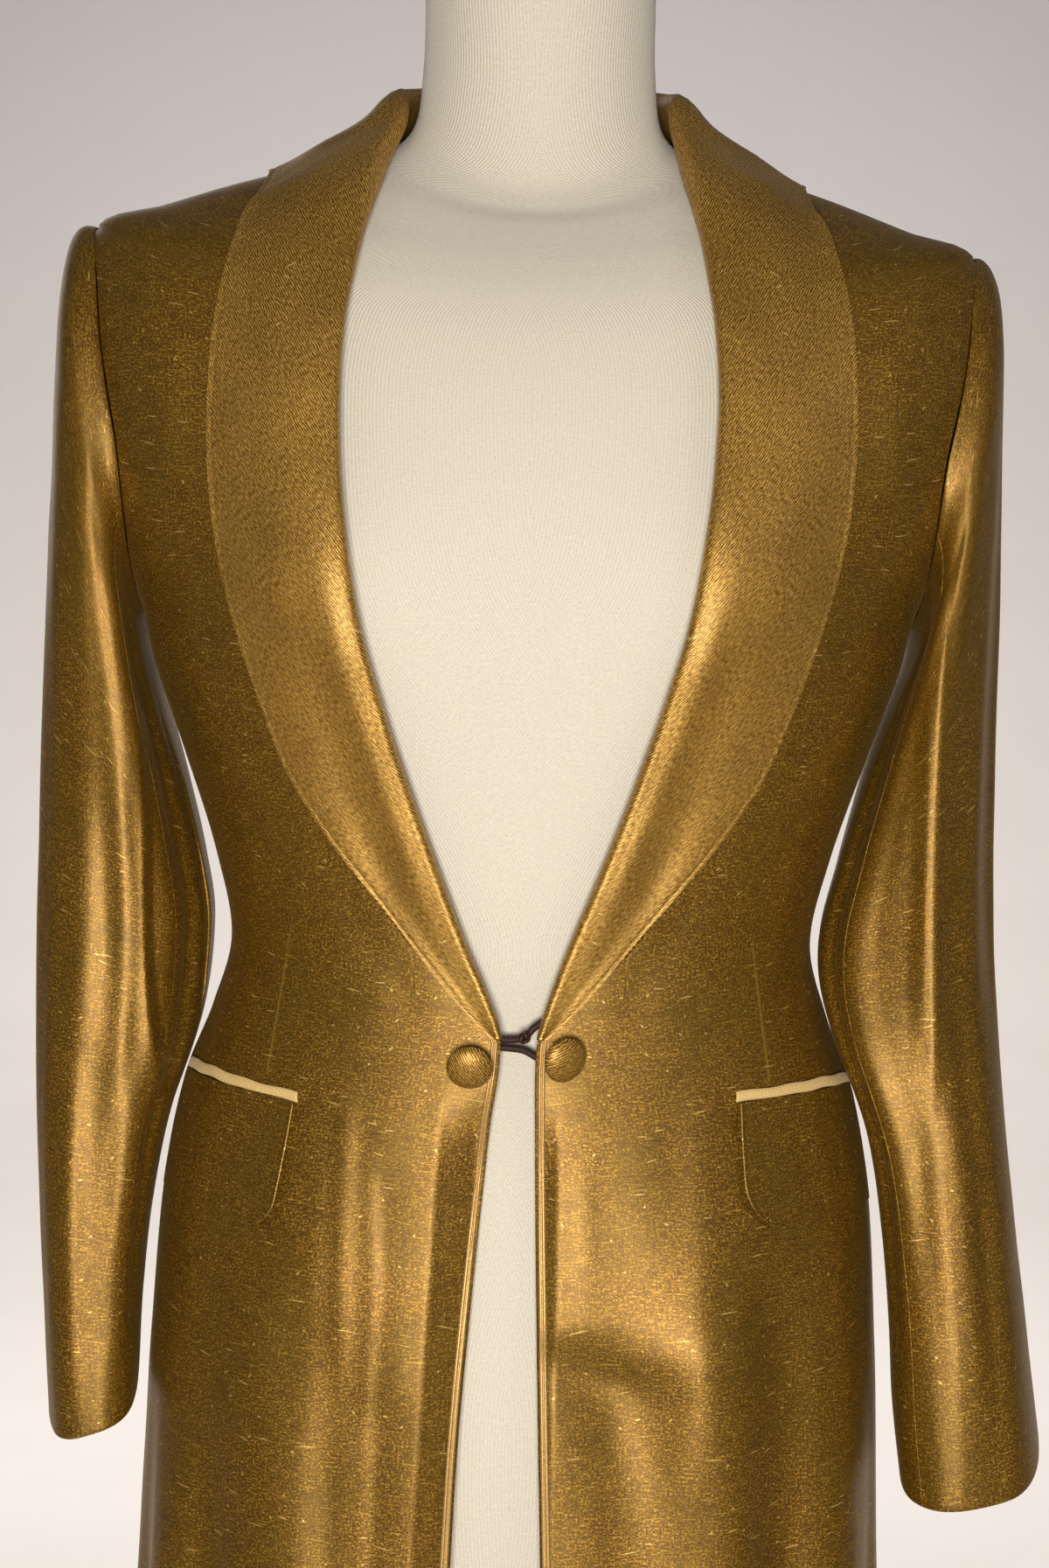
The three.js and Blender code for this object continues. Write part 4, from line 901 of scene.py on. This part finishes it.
def buildFront(side):
    def place(across, along):
        level = levelAt(along, neckLevel)
        outer = perRow(level, lambda at: np.where(at <= frontCorner, seamAngle(1, at), armholeFront(at)))
        outer = moved(side, outer, level, -seamGap / 2)
        inner = perRow(level, lambda at: frontInner(side, at))
        # The edges are pressed by half a millimetre along the seams
        edge = np.minimum(across, 1 - across) * 190
        sunk = -bumpAt(edge, (0, 1.6, 0.5))
        return onCoat(side, inner + (outer - inner) * gathered(across, 0.45), level, sunk * (1 - across))
    clothPiece(
        "front", side, (96, 270), place, cloth["body"], silkCloth,
        flat=(0.26, 0.93), area=0.172, held="hung", rests_on=["form_torso"],
    )


def buildSide(side):
    def place(across, along):
        level = along * armpitLevel
        turn = np.radians(80 + 32 * across)
        top = perRow(turn, armholeFloor)
        level = np.where(level <= bustLevel, level, bustLevel + (top - bustLevel) * (level - bustLevel))
        front, back = seamAngle(1, level), seamAngle(2, level)
        t = front + (back - front) * across
        t = moved(side, t, level, seamGap / 2 - seamGap * across)
        return onCoat(side, t, level)
    clothPiece(
        "side", side, (34, 200), place, cloth["body"], silkCloth,
        flat=(0.15, 0.73), area=0.092, held="hung", rests_on=["form_torso"],
    )


def buildBack(side):
    def place(across, along):
        level = levelAt(along, neckLevel)
        outer = perRow(level, lambda at: np.where(at <= backCorner, seamAngle(2, at), armholeBack(at)))
        outer = moved(side, outer, level, seamGap / 2)
        middle = moved(side, np.full_like(level, np.pi), level, -seamGap / 2)
        return onCoat(side, outer + (middle - outer) * across, level)
    clothPiece(
        "back", side, (48, 220), place, cloth["body"], silkCloth,
        flat=(0.23, 0.93), area=0.158, held="hung", rests_on=["form_torso"],
    )


for side in ("left", "right"):
    buildFront(side)
    buildSide(side)
    buildBack(side)
print("body cloth laid")

# Collar


def frontPlace(x, z):
    # The angle and level of the front that are seen at a place from straight ahead
    x, z = np.atleast_1d(np.asarray(x, float)), np.atleast_1d(np.asarray(z, float))
    def angle(level):
        return crossing(lambda t: plainBody(coatRings, t, level)[..., 0] - x, 0, np.pi / 2, len(x))
    def beyond(level):
        return plainBody(coatRings, angle(level), level)[..., 2] - z
    level = crossing(beyond, hemLevel, rollLevel - 0.01, len(x))
    return angle(level), level


collarTurn = [
    (71.5, 1376, 128.5, 1374, 0, 0.6), (69, 1386, 127, 1380, 0.04, 1.2), (67, 1394, 125, 1385, 0.1, 1.8),
    (65, 1402, 123, 1389, 0.2, 2.2), (63.5, 1409, 120.5, 1392.5, 0.35, 2.2),
]
collarAround = [
    (71, standLevel - 0.25, 73, slopeLevel - 0.5, 0.6),
    (78, standLevel + 0.2, 80, slopeLevel - 0.45, 0.85),
    (87, standLevel + 0.65, 89, slopeLevel - 0.4, 1), (98, rollLevel - 0.1, 99, slopeLevel - 0.36, 1),
    (114, rollLevel, 114, slopeLevel - 0.3, 1), (131, rollLevel, 131, yokeLevel + 0.45, 1),
    (148, rollLevel, 148, yokeLevel + 0.25, 1), (164, rollLevel, 164, yokeLevel + 0.12, 1),
    (179.85, rollLevel, 179.9, yokeLevel + 0.1, 1),
]


lapelHeights = [
    1035, 1038, 1042, 1048, 1058, 1074, 1095, 1120, 1147, 1175, 1202, 1230, 1258, 1286, 1312, 1337, 1358,
]


def collarStations(side):
    half = cloth["collar"][0] / 2
    heights = np.array(lapelHeights, float)
    turned = np.array(collarTurn)
    rollX = np.concatenate([rollAt(side, heights) + half, turned[:, 0] + rollShift[side]])
    edgeX = np.concatenate([readCurve(lapel, 2, heights), turned[:, 2]])
    t, level = frontPlace(rollX, np.concatenate([heights, turned[:, 1]]))
    edgeT, edgeLevel = frontPlace(edgeX, np.concatenate([heights, turned[:, 3]]))
    stands = np.concatenate([np.zeros((len(heights), 2)), turned[:, 4:]])
    rows = list(zip(t, level, edgeT, edgeLevel, stands[:, 0], stands[:, 1]))
    for at, level, edgeAt, edgeLevel, stand in collarAround:
        rows.append((math.radians(at), level, math.radians(edgeAt), edgeLevel, stand, 1.6))
    return rows


def collarSection(side, station):
    rollT, level, edgeT, edgeLevel, stand, lift = station
    half = cloth["collar"][0] / 2
    def one(t, at, raised):
        return onCoat(side, np.array([t]), np.array([at]), raised, False)[0]
    seam = level + (min(neckLevel + 0.06, level) - level) * min(stand * 1.6, 1)
    points = []
    for share, curl in ((0, -1.4), (0.5, 0.2), (1, 1.8)):
        points.append(one(rollT, seam + (level - seam) * share, curl + (-half - curl) * stand))
    crestT = moved(side, np.array([rollT]), np.array([level]), 0.9 * (1 - stand))[0]
    crest = one(crestT, level, 3.6 - 2.0 * stand)
    crest[2] += 1.6 * stand
    points.append(crest)
    edge = one(edgeT, edgeLevel, 1.1 - 0.9 * stand + half)
    over = one(rollT, level, 4.2)
    for share in (0.09, 0.22, 0.4, 0.6, 0.8, 1):
        raised = 4.2 + (1.1 - 0.9 * stand + half - 4.2) * min(share * 1.7, 1) ** 0.8
        raised += lift * math.sin(math.pi * (0.3 + 0.6 * share))
        lying = one(rollT + (edgeT - rollT) * share, level + (edgeLevel - level) * share, raised)
        bridging = over + (edge - over) * share
        bridging[2] += 0.8 * math.sin(math.pi * share)
        blend = 0.5 * float(smoothStep(stand, 0.35, 1))
        points.append(lying + (bridging - lying) * blend)
    return np.array(points)


def through(points, shares):
    # A smooth line through rows of points, at shares of its length
    steps = np.linalg.norm(np.diff(points, axis=0), axis=-1)
    steps = steps.reshape(len(points) - 1, -1).mean(axis=1)
    keys = np.concatenate([[0], np.cumsum(steps)])
    flat = points.reshape(len(points), -1)
    out = np.stack([alongKeys(keys, flat[:, k], shares * keys[-1]) for k in range(flat.shape[1])], -1)
    return out.reshape((len(shares),) + points.shape[1:])


# How the collar swells: a puff above, and below it a ridge and a hollow beside the roll. Its outer edge is
# pressed. Place, width and height of each.
collarSwell = {
    "rollWidth": 6, "puff": 3.2, "ridge": (8, 4.5, 1.0), "hollow": (22, 9, 1.7), "pressed": (2.4, 0.9, 0.25),
}


def buildCollar(side):
    columns, rows = 44, 250
    sections = np.array([collarSection(side, station) for station in collarStations(side)])
    dense = through(sections, np.linspace(0, 1, rows + 1))
    share = gathered(np.linspace(0, 1, columns + 1), 0.7)
    full = np.array([through(line, share) for line in dense])
    normal = np.cross(np.gradient(full, axis=1), np.gradient(full, axis=0))
    normal /= np.linalg.norm(normal, axis=2, keepdims=True)
    normal *= -np.sign(normal[:100, 15:, 1].mean())
    far = np.cumsum(np.linalg.norm(np.diff(full, axis=1, prepend=full[:, :1]), axis=2), axis=1)
    toEdge = far[:, -1:] - far
    fromRoll = far - collarSwell["rollWidth"]
    wide = smoothStep(far[:, -1:], 20, 50)
    height = dense[:, 0, 2][:, None]
    low = 1 - smoothStep(height, 1165, 1235)
    swell = -bumpAt(toEdge, collarSwell["pressed"])
    puff = 1 - np.exp(-np.maximum(fromRoll, 0) / 11)
    swell += collarSwell["puff"] * puff * smoothStep(toEdge, 2, 32) * wide * (1 - low)
    swell += (bumpAt(fromRoll, collarSwell["ridge"]) - bumpAt(fromRoll, collarSwell["hollow"])) * wide * low
    seed = 31 if side == "left" else 37
    swell += ripple(seed, far, np.arange(rows + 1)[:, None] * 0.8, 70, 0.5) * wide
    full = full + normal * (swell * smoothStep(toEdge, -0.5, 0.5))[..., None]
    def place(across, along):
        return full[np.rint(along * rows).astype(int), np.rint(across * columns).astype(int)]
    clothPiece(
        "collar", side, (columns, rows), place, cloth["collar"], satinCloth,
        flat=(0.11, 0.56), area=0.038, held="folded", rests_on=["front_" + side, "back_" + side],
    )


for side in ("left", "right"):
    buildCollar(side)
print("collar folded")

# Sleeves


def armholeLoop(side):
    levels = np.linspace(tipLevel, armpitLevel + 0.002, 60)
    front = coatAt(side, armholeFront(levels), levels, False)
    back = coatAt(side, armholeBack(levels), levels, False)[::-1]
    return np.concatenate([front, back[1:-1]])


def creaseAt(side, turn, z):
    angle = np.degrees(turn) % 360
    out = np.zeros_like(z)
    for creaseSide, at, width, height, low, high in sleeveCreases:
        if creaseSide in (side, "both"):
            middle, reach = (low + high) / 2, (high - low) / 2
            out += height * hill(z - middle, reach) ** 0.4 * hill(angle - at, width)
    return out


def sleeveAt(side, loop, turn, level, fine=True):
    rings = sleeveRings[side]
    at = np.maximum(level, 1) - 1
    def read(column):
        return ringValue(rings, column, at)
    flatter = 2.15 + 0.75 * (1 - smoothStep(read(1), 1040, 1240)) if fine else 2.25
    power = 2 / np.where(np.sin(turn) > 0, flatter, 2.25)
    across = np.sign(np.cos(turn)) * np.abs(np.cos(turn)) ** power
    deep = np.sign(np.sin(turn)) * np.abs(np.sin(turn)) ** power
    x = (read(0) + read(2)) / 2 + (read(0) - read(2)) * across / 2
    z = (read(1) + read(3)) / 2 + (read(1) - read(3)) * across / 2
    front, back = read(4), read(5)
    y = (back - front) / 2 - deep * (front + back) / 2
    z = z - read(6) * deep
    x = x - read(7) * deep
    out = creaseAt(side, turn, z) * (0.6 if fine else 1)
    if fine:
        seed = 5 if side == "left" else 9
        out = out + ripple(seed, turn * 45, z * 0.3, 80, 0.6) * smoothStep(level, 2, 6)
        for creaseSide, path, width, bump in sleeveFolds:
            if creaseSide in (side, "both"):
                out = out + bump * alongCrease(path, x, z, width) * smoothStep(np.sin(turn), 0.1, 0.5)
        fold = sleeveTurns[side]
        held = fadedIn(z, fold["low"], 40, 40) * (1 - fadedIn(z, fold["path"][0][1], 40, 0))
        ahead = smoothStep(np.sin(turn), 0.05, 0.4)
        inside = pathAt(fold["path"], z) - x
        y = y + fold["deep"] * smoothStep(inside, -0.6, fold["soft"]) * held * ahead
        y = y + 12 * np.tanh(np.maximum(inside, 0) * fold["slope"] / 12) * held * ahead
        # The inner side swings in behind the coat's side
        low, high, swing = sleeveSwing[side]
        inner = smoothStep(-np.cos(turn), -0.1, 0.9)
        x = x - swing * inner * smoothStep(z, 800, low) * (1 - smoothStep(z, high, high + 70))
        # The outer face slopes back from the front ridge
        ridge, low, slope = sleeveRidge[side]
        y = y + slope * np.maximum(x - ridge, 0) * fadedIn(z, low, 30, 30) * ahead
    point = np.stack([x + np.cos(turn) * out, y - np.sin(turn) * out, z], -1)
    closed = np.concatenate([loop, loop[:1]])
    far = lengthAlong(closed)
    share = (turn / (2 * np.pi)) % 1 * far[-1]
    cut = np.stack([np.interp(share, far, closed[:, k]) for k in range(3)], -1)
    toSleeve = point - cut
    toSleeve[..., 0] = np.maximum(toSleeve[..., 0], 0.2)
    toSleeve /= np.linalg.norm(toSleeve, axis=-1, keepdims=True)
    start = cut + toSleeve * 0.6
    blend = (smoothStep(level, 0, 5) ** 0.55)[..., None]
    return np.where((level >= 5)[..., None], point, start + (point - start) * blend)


def sleeveRows(side, along):
    rings = np.array(sleeveRings[side])
    keys = np.concatenate([[0.0], np.arange(1, len(rings) + 1)])
    middles = np.concatenate([[1300], (rings[:, 1] + rings[:, 3]) / 2])
    height = np.concatenate([[0], np.cumsum(np.abs(np.diff(middles)) + 2.5)])
    height[1:] -= height[1] - 4
    return np.interp(along * height[-1], height, keys)


def buildSleeve(side, kind):
    loop = armholeLoop(side)
    gap = sleeveSeam["gap"]
    if kind == "top":
        first, last, columns = sleeveSeam["back"] - 360 + gap, sleeveSeam["front"] - gap, 118
    else:
        first, last, columns = sleeveSeam["front"] + gap, sleeveSeam["back"] - gap, 44
    # Columns stand closer at the front, where the folds are, and at both seams
    degrees = np.linspace(first, last, 400)
    near = 1 + 2.4 * np.exp(-(((degrees - 92) / 34) ** 2)) + 1.5 * np.exp(-((degrees - first) / 5) ** 2)
    near += 1.5 * np.exp(-((degrees - last) / 5) ** 2)
    spaced = (np.cumsum(near) - near[0]) / (np.cumsum(near)[-1] - near[0])
    def place(across, along):
        # Along runs from the cuff up
        level = sleeveRows(side, 1 - along)
        return sleeveAt(side, loop, np.radians(np.interp(1 - across, spaced, degrees)), level)
    flat, area = {"top": ((0.24, 0.6), 0.1), "under": ((0.14, 0.5), 0.052)}[kind]
    clothPiece(
        "sleeve_" + kind, side, (columns, 190), place, cloth["sleeve"], silkCloth,
        flat=flat, area=area, held="hung", rests_on=["form_torso"],
    )


for side in ("left", "right"):
    for kind in ("top", "under"):
        buildSleeve(side, kind)
print("sleeves hung")

# Pockets and piping, which lie on the fronts


def frontLevel(z):
    return crossing(lambda at: ringValue(coatRings, 0, at) - z, hemLevel, bustLevel, len(z))


def tilted(side, across):
    inner, outer, middle = pocketTilt[side]
    return inner + (outer - inner) * across + middle * np.sin(np.pi * across)


def buildJet(side):
    low = pocket["jetTop"] - pocket["jetHeight"]
    def place(across, along):
        def innerAngle(row):
            return frontAngle(lambda z: pocket["inner"], frontLevel(low + pocket["jetHeight"] * row))
        inner = perRow(along, innerAngle)
        outer = math.radians(pocket["outerAngle"])
        wavering = 0.25 * np.sin(across * 23) + 0.2 * np.sin(across * 9 + 2)
        level = frontLevel(low + pocket["jetHeight"] * along + tilted(side, across) + wavering)
        puff = 1.3 + 0.9 * np.sin(np.pi * along) ** 0.6
        return onCoat(side, inner + (outer - inner) * across, level, puff)
    clothPiece(
        "pocket_jet", side, (90, 10), place, cloth["jet"], (trim, "trim_satin"),
        flat=(0.096, 0.0105), area=0.00045, held="stretched", rests_on=["front_" + side],
    )


def flapInner(side, top, tall, row):
    # The inner edge slants outwards a little, and its lower corner is rounded
    rounding = flapEdge[side]["rounding"]
    curve = rounding - np.sqrt(np.maximum(rounding**2 - np.maximum(rounding - tall * row, 0) ** 2, 0))
    curve = curve * 0.8 + flapEdge[side]["slant"] * (1 - row)
    return frontAngle(lambda z: pocket["inner"] + curve, frontLevel(top - tall + tall * row))


def buildFlap(side):
    top = pocket["jetTop"] - pocket["jetHeight"] - 0.3
    tall = pocket["flapHeight"]
    def place(across, along):
        level = frontLevel(top - tall + tall * along + tilted(side, across))
        inner = perRow(along, lambda row: flapInner(side, top, tall, row))
        outer = math.radians(pocket["outerAngle"])
        # It stands off at its inner edge, and lies close at its lower edge and its outer end
        share = gathered(across, 0.7)
        lift = 1.2 + 2.6 * np.exp(-share * 96 / 20) + 0.5 * smoothStep(along, 0.6, 1)
        lift = lift + 0.8 * np.exp(-(((share * 96 - 0.7) / 0.8) ** 2))
        return onCoat(side, inner + (outer - inner) * share, level, lift)
    clothPiece(
        "pocket_flap", side, (80, 48), place, cloth["flap"], silkCloth,
        flat=(0.1, 0.053), area=0.0051, held="hung", rests_on=["front_" + side],
    )


def buildPiping(side):
    def place(across, along):
        low, high = hemHeight + 1, buttonLevel + 3
        level = perRow(along, lambda row: frontLevel(low + (high - low) * row))
        inner = perRow(level, lambda at: frontInner(side, at))
        t = moved(side, inner, level, 1.3 + 3.1 * across)
        ridges = 0.8 * np.abs(np.sin(2 * np.pi * across)) ** 0.6
        return onCoat(side, t, level, 0.35 + ridges)
    clothPiece(
        "edge_piping", side, (16, 260), place, cloth["piping"], (piping, "trim_satin"),
        flat=(0.0105, 0.5), area=0.0026, held="stretched", rests_on=["front_" + side],
    )


for side in ("left", "right"):
    buildJet(side)
    buildFlap(side)
    buildPiping(side)
print("pockets and piping laid")

# Buttons and link

buttonSpots = {
    "left": {"x": 15.5, "z": 1029.5, "side": -26, "up": -22},
    "right": {"x": 20.5, "z": 1026.5, "side": 4, "up": -28},
}
# Radii and heights of a covered button, from its top round to its shank
buttonShape = [
    (0, 9.1), (2.2, 9.0), (4.4, 8.65), (6.4, 8.0), (8.0, 7.1), (9.2, 6.0), (9.85, 5.0), (9.7, 4.2),
    (8.8, 3.75), (6, 3.6), (2.8, 3.5), (2.6, 0.4), (0, 0.2),
]


def buildButton(side):
    spot = buttonSpots[side]
    t, level = frontPlace(spot["x"], spot["z"])
    point = onCoat(side, t, level, 0.6, False)[0]
    normal = Vector(onCoat(side, t, level, 1.0, False)[0] - onCoat(side, t, level, 0.0, False)[0])
    normal.rotate(Matrix.Rotation(math.radians(-spot["side"]), 3, "Z"))
    normal.rotate(Matrix.Rotation(math.radians(-spot["up"]), 3, "X"))
    clear = 6.5 * math.sin(math.radians(math.hypot(spot["side"], spot["up"])))
    turn = Vector((0, 0, 1)).rotation_difference(normal)
    bm = bmesh.new()
    spin(bm, buttonShape, 64, 1)
    for vert in bm.verts:
        radius = math.hypot(vert.co.x, vert.co.y)
        if radius > 5 and vert.co.z < 6.5:
            # The cloth is gathered under the rim
            vert.co.z += 0.12 * math.sin(18 * math.atan2(vert.co.y, vert.co.x)) * min((radius - 5) / 4, 1)
    uvLayer = bm.loops.layers.uv.new("cloth")
    for face in bm.faces:
        for loop in face.loops:
            loop[uvLayer].uv = (loop.vert.co.x * unit, loop.vert.co.y * unit)
    for vert in bm.verts:
        vert.co = (turn @ vert.co + Vector(point) + normal * clear) * unit
    if side == "right":
        for vert in bm.verts:
            vert.co.x *= -1
        bmesh.ops.reverse_faces(bm, faces=bm.faces)
    piece = objectFrom("link_button_" + side + "_cover", bm)
    finishPiece(piece, satin, "collar_satin", "link_button_" + side)


for side in ("left", "right"):
    buildButton(side)

linkLook = {"radius": 1.6, "ply": 3, "turn": 2.6, "behind": 1.9}
linkDepth = plainBody(coatRings, np.array([0.0]), np.array([6.0]))[0][1] + 2
linkDepth += linkLook["behind"] + linkLook["radius"]
linkPaths = {
    "link_strand_upper": [(-12, 1034.4), (-4, 1034), (2, 1035), (6.5, 1039.5), (12, 1043)],
    "link_strand_lower": [(-12, 1030.8), (-4, 1030.4), (2, 1029.6), (7, 1027), (12, 1024)],
}


def plyTube(name, lines, thickness):
    curve = bpy.data.curves.new(name, "CURVE")
    curve.dimensions = "3D"
    curve.bevel_depth = thickness * unit
    curve.bevel_resolution = 3
    curve.use_fill_caps = True
    for line in lines:
        spline = curve.splines.new("POLY")
        spline.points.add(len(line) - 1)
        for point, place in zip(spline.points, line):
            point.co = (*(np.array(place) * unit), 1)
    made = linked(name + "_curve", curve)
    mesh = bpy.data.meshes.new_from_object(made.evaluated_get(bpy.context.evaluated_depsgraph_get()))
    mesh.name = name
    for polygon in mesh.polygons:
        polygon.use_smooth = True
    bpy.data.objects.remove(made)
    return linked(name, mesh)


def buildStrand(node, path):
    line = through(np.array([(x, linkDepth, z) for x, z in path], float), np.linspace(0, 1, 120))
    along = np.gradient(line, axis=0)
    along /= np.linalg.norm(along, axis=1, keepdims=True)
    depth = np.array([0, 1.0, 0])
    up = np.cross(along, depth)
    far = lengthAlong(line)
    lines = []
    for k in range(linkLook["ply"]):
        phase = far * linkLook["turn"] + k * 2 * np.pi / linkLook["ply"]
        lines.append(line + 0.78 * (np.cos(phase)[:, None] * up + np.sin(phase)[:, None] * depth))
    piece = plyTube(node + "_cord", lines, 0.8)
    finishPiece(piece, cord, "link_cord", node)


for node, path in linkPaths.items():
    buildStrand(node, path)


def buildKnot():
    centre = np.array([2.2, linkDepth - 1.6 - 2.9 - 0.3, 1035.5])
    turns = np.linspace(0, 1, 160)
    about, reach = 4 * np.pi * turns, 1 + 0.35 * np.cos(6 * np.pi * turns)
    deep = 0.75 * np.sin(6 * np.pi * turns)
    ball = 2.0 * np.stack([reach * np.cos(about), deep, reach * np.sin(about)], -1)
    lines = [centre + ball * 0.72]
    pick = random.Random(4)
    for k in range(9):
        turn = pick.uniform(-0.6, 0.6)
        reach = pick.uniform(1.6, 2.7)
        tip = np.array([math.cos(turn) * reach, pick.uniform(-0.8, 0.5), math.sin(turn) * reach + 0.5])
        bend = np.array([0.4, pick.uniform(-0.5, 0.5), pick.uniform(-0.3, 0.6)])
        lines.append(np.array([centre + tip * s + bend * s * (1 - s) for s in np.linspace(0, 1, 8)]))
    piece = plyTube("link_knot_cord", lines[:1], 0.75)
    finishPiece(piece, cord, "link_cord", "link_knot")
    fray = plyTube("link_knot_fray", lines[1:], 0.14)
    finishPiece(fray, cord, "link_cord")


buildKnot()
print("link tied")

# Dress form and stand


def buildForm():
    def place(across, along):
        turn = 2 * np.pi * across
        t = np.where(turn <= np.pi, turn, 2 * np.pi - turn)
        level = along * (len(formRings) - 1)
        points = plainBody(formRings, t, level)
        left = turn <= np.pi
        points[:, 2] -= np.where(left, droop("left", points[:, 0], points[:, 2]), 0)
        points[:, 0] = np.where(left, points[:, 0], -points[:, 0])
        points[:, 0] = np.where((across < 1e-6) | (across > 1 - 1e-6), 0, points[:, 0])
        return points
    piece = gridObject("form_torso_jersey", 144, 200, place, closed=True)
    bm = bmesh.new()
    bm.from_mesh(piece.data)
    bmesh.ops.holes_fill(bm, edges=[edge for edge in bm.edges if edge.is_boundary], sides=0)
    rims = [face for face in bm.faces if len(face.verts) > 8]
    bmesh.ops.inset_region(bm, faces=rims, thickness=0.004, depth=0.0012)
    bmesh.ops.recalc_face_normals(bm, faces=bm.faces)
    for face in bm.faces:
        face.smooth = True
    bm.to_mesh(piece.data)
    bm.free()
    finishPiece(piece, jersey, "form_jersey", "form_torso")


def spunPiece(name, profile, steps, node, material, slot):
    bm = bmesh.new()
    spin(bm, profile, steps, unit)
    piece = objectFrom(name, bm)
    soft = soften(piece, 1.1, 3, 25)
    soft.harden_normals = True
    finishPiece(piece, material, slot, node)


# Radii and heights of the stand's outlines
stand = {
    "base": [(0, 0), (178, 0), (178, 7), (173, 9), (39, 13), (27, 16), (24, 26), (0, 26)],
    "pole": [(0, 26.3), (15, 26.3), (15, 735.7), (0, 735.7)],
}
buildForm()
spunPiece("stand_base_plate", stand["base"], 120, "stand_base", paint, "base_paint")
spunPiece("stand_pole_tube", stand["pole"], 64, "stand_pole", steel, "pole_steel")
print("form and stand made")

# Room and light


room = {"wall": 6.0, "sweep": 1.6, "high": 6.0, "half": 16.0}


def buildRoom():
    # A pale floor that sweeps up into a pale wall, with painted shade that darkens it towards the top
    bm = bmesh.new()
    bmesh.ops.create_grid(bm, x_segments=1, y_segments=60, size=room["half"])
    flat = room["wall"] - room["sweep"] + room["half"]
    bend = room["sweep"] * math.pi / 2
    for vert in bm.verts:
        far = (vert.co.y + room["half"]) / (2 * room["half"]) * (flat + bend + room["high"])
        turn = min(max(far - flat, 0) / room["sweep"], math.pi / 2)
        vert.co.y = min(far, flat) - room["half"] + room["sweep"] * math.sin(turn)
        vert.co.z = room["sweep"] * (1 - math.cos(turn)) + max(far - flat - bend, 0)
    sheet = objectFrom("paleRoom", bm)
    sh = Shading("paleRoom")
    at = sh.objectPlace()
    mottle = sh.noise(at, 6, 3, 0.5)
    height = sh.parts(at)[2]
    tint = sh.mix(sh.range(mottle, 0.3, 0.7, 0, 0.2), srgb(234, 227, 220), srgb(222, 213, 205))
    # Painted shade: the sheet's colour darkens with height
    tint = sh.mix(sh.range(height, 0.3, 3.0, 0, 0.95), tint, srgb(166, 161, 161))
    sheet.data.materials.append(sh.finish(Base_Color=tint, Roughness=0.9, Specular_IOR_Level=0.2))


buildRoom()

lights = {
    "key": {
        "place": (-0.04, -1.42, 1.04), "aim": (0, 0, 1.05), "size": 0.3, "power": 20,
        "colour": (1, 0.965, 0.9),
    },
    "rear": {
        "place": (-1.2, 2.6, 2.0), "aim": (0, 0, 1.1), "size": 1.6, "power": 10,
        "colour": (1, 0.97, 0.94),
    },
    "fill": {
        "place": (1.5, -1.7, 1.9), "aim": (0, 0, 1.1), "size": 1.4, "power": 3.5,
        "colour": (1, 0.97, 0.93),
    },
    "wallWash": {
        "place": (0, 2.4, 3.4), "aim": (0, 6, 0.9), "size": 3.0, "power": 165,
        "colour": (0.985, 0.97, 0.97),
    },
}
for name, light in lights.items():
    data = bpy.data.lights.new(name, "AREA")
    data.energy = light["power"]
    data.size = light["size"]
    data.color = light["colour"]
    lamp = linked(name, data)
    lamp.location = light["place"]
    aim = Vector(light["aim"]) - Vector(light["place"])
    lamp.rotation_euler = aim.to_track_quat("-Z", "Y").to_euler()

# The room's far sides look pale, and give a little light
world = bpy.data.worlds.new("room")
world.use_nodes = True
sky = world.node_tree.nodes["Background"]
sky.inputs["Color"].default_value = (1, 0.96, 0.92, 1)
seen = world.node_tree.nodes.new("ShaderNodeLightPath").outputs["Is Camera Ray"]
strength = world.node_tree.nodes.new("ShaderNodeMapRange")
strength.inputs["To Min"].default_value = 0.17
strength.inputs["To Max"].default_value = 0.62
world.node_tree.links.new(seen, strength.inputs["Value"])
world.node_tree.links.new(strength.outputs[0], sky.inputs["Strength"])
bpy.context.scene.world = world
bpy.context.scene.view_settings.view_transform = "Standard"
print("room lit")
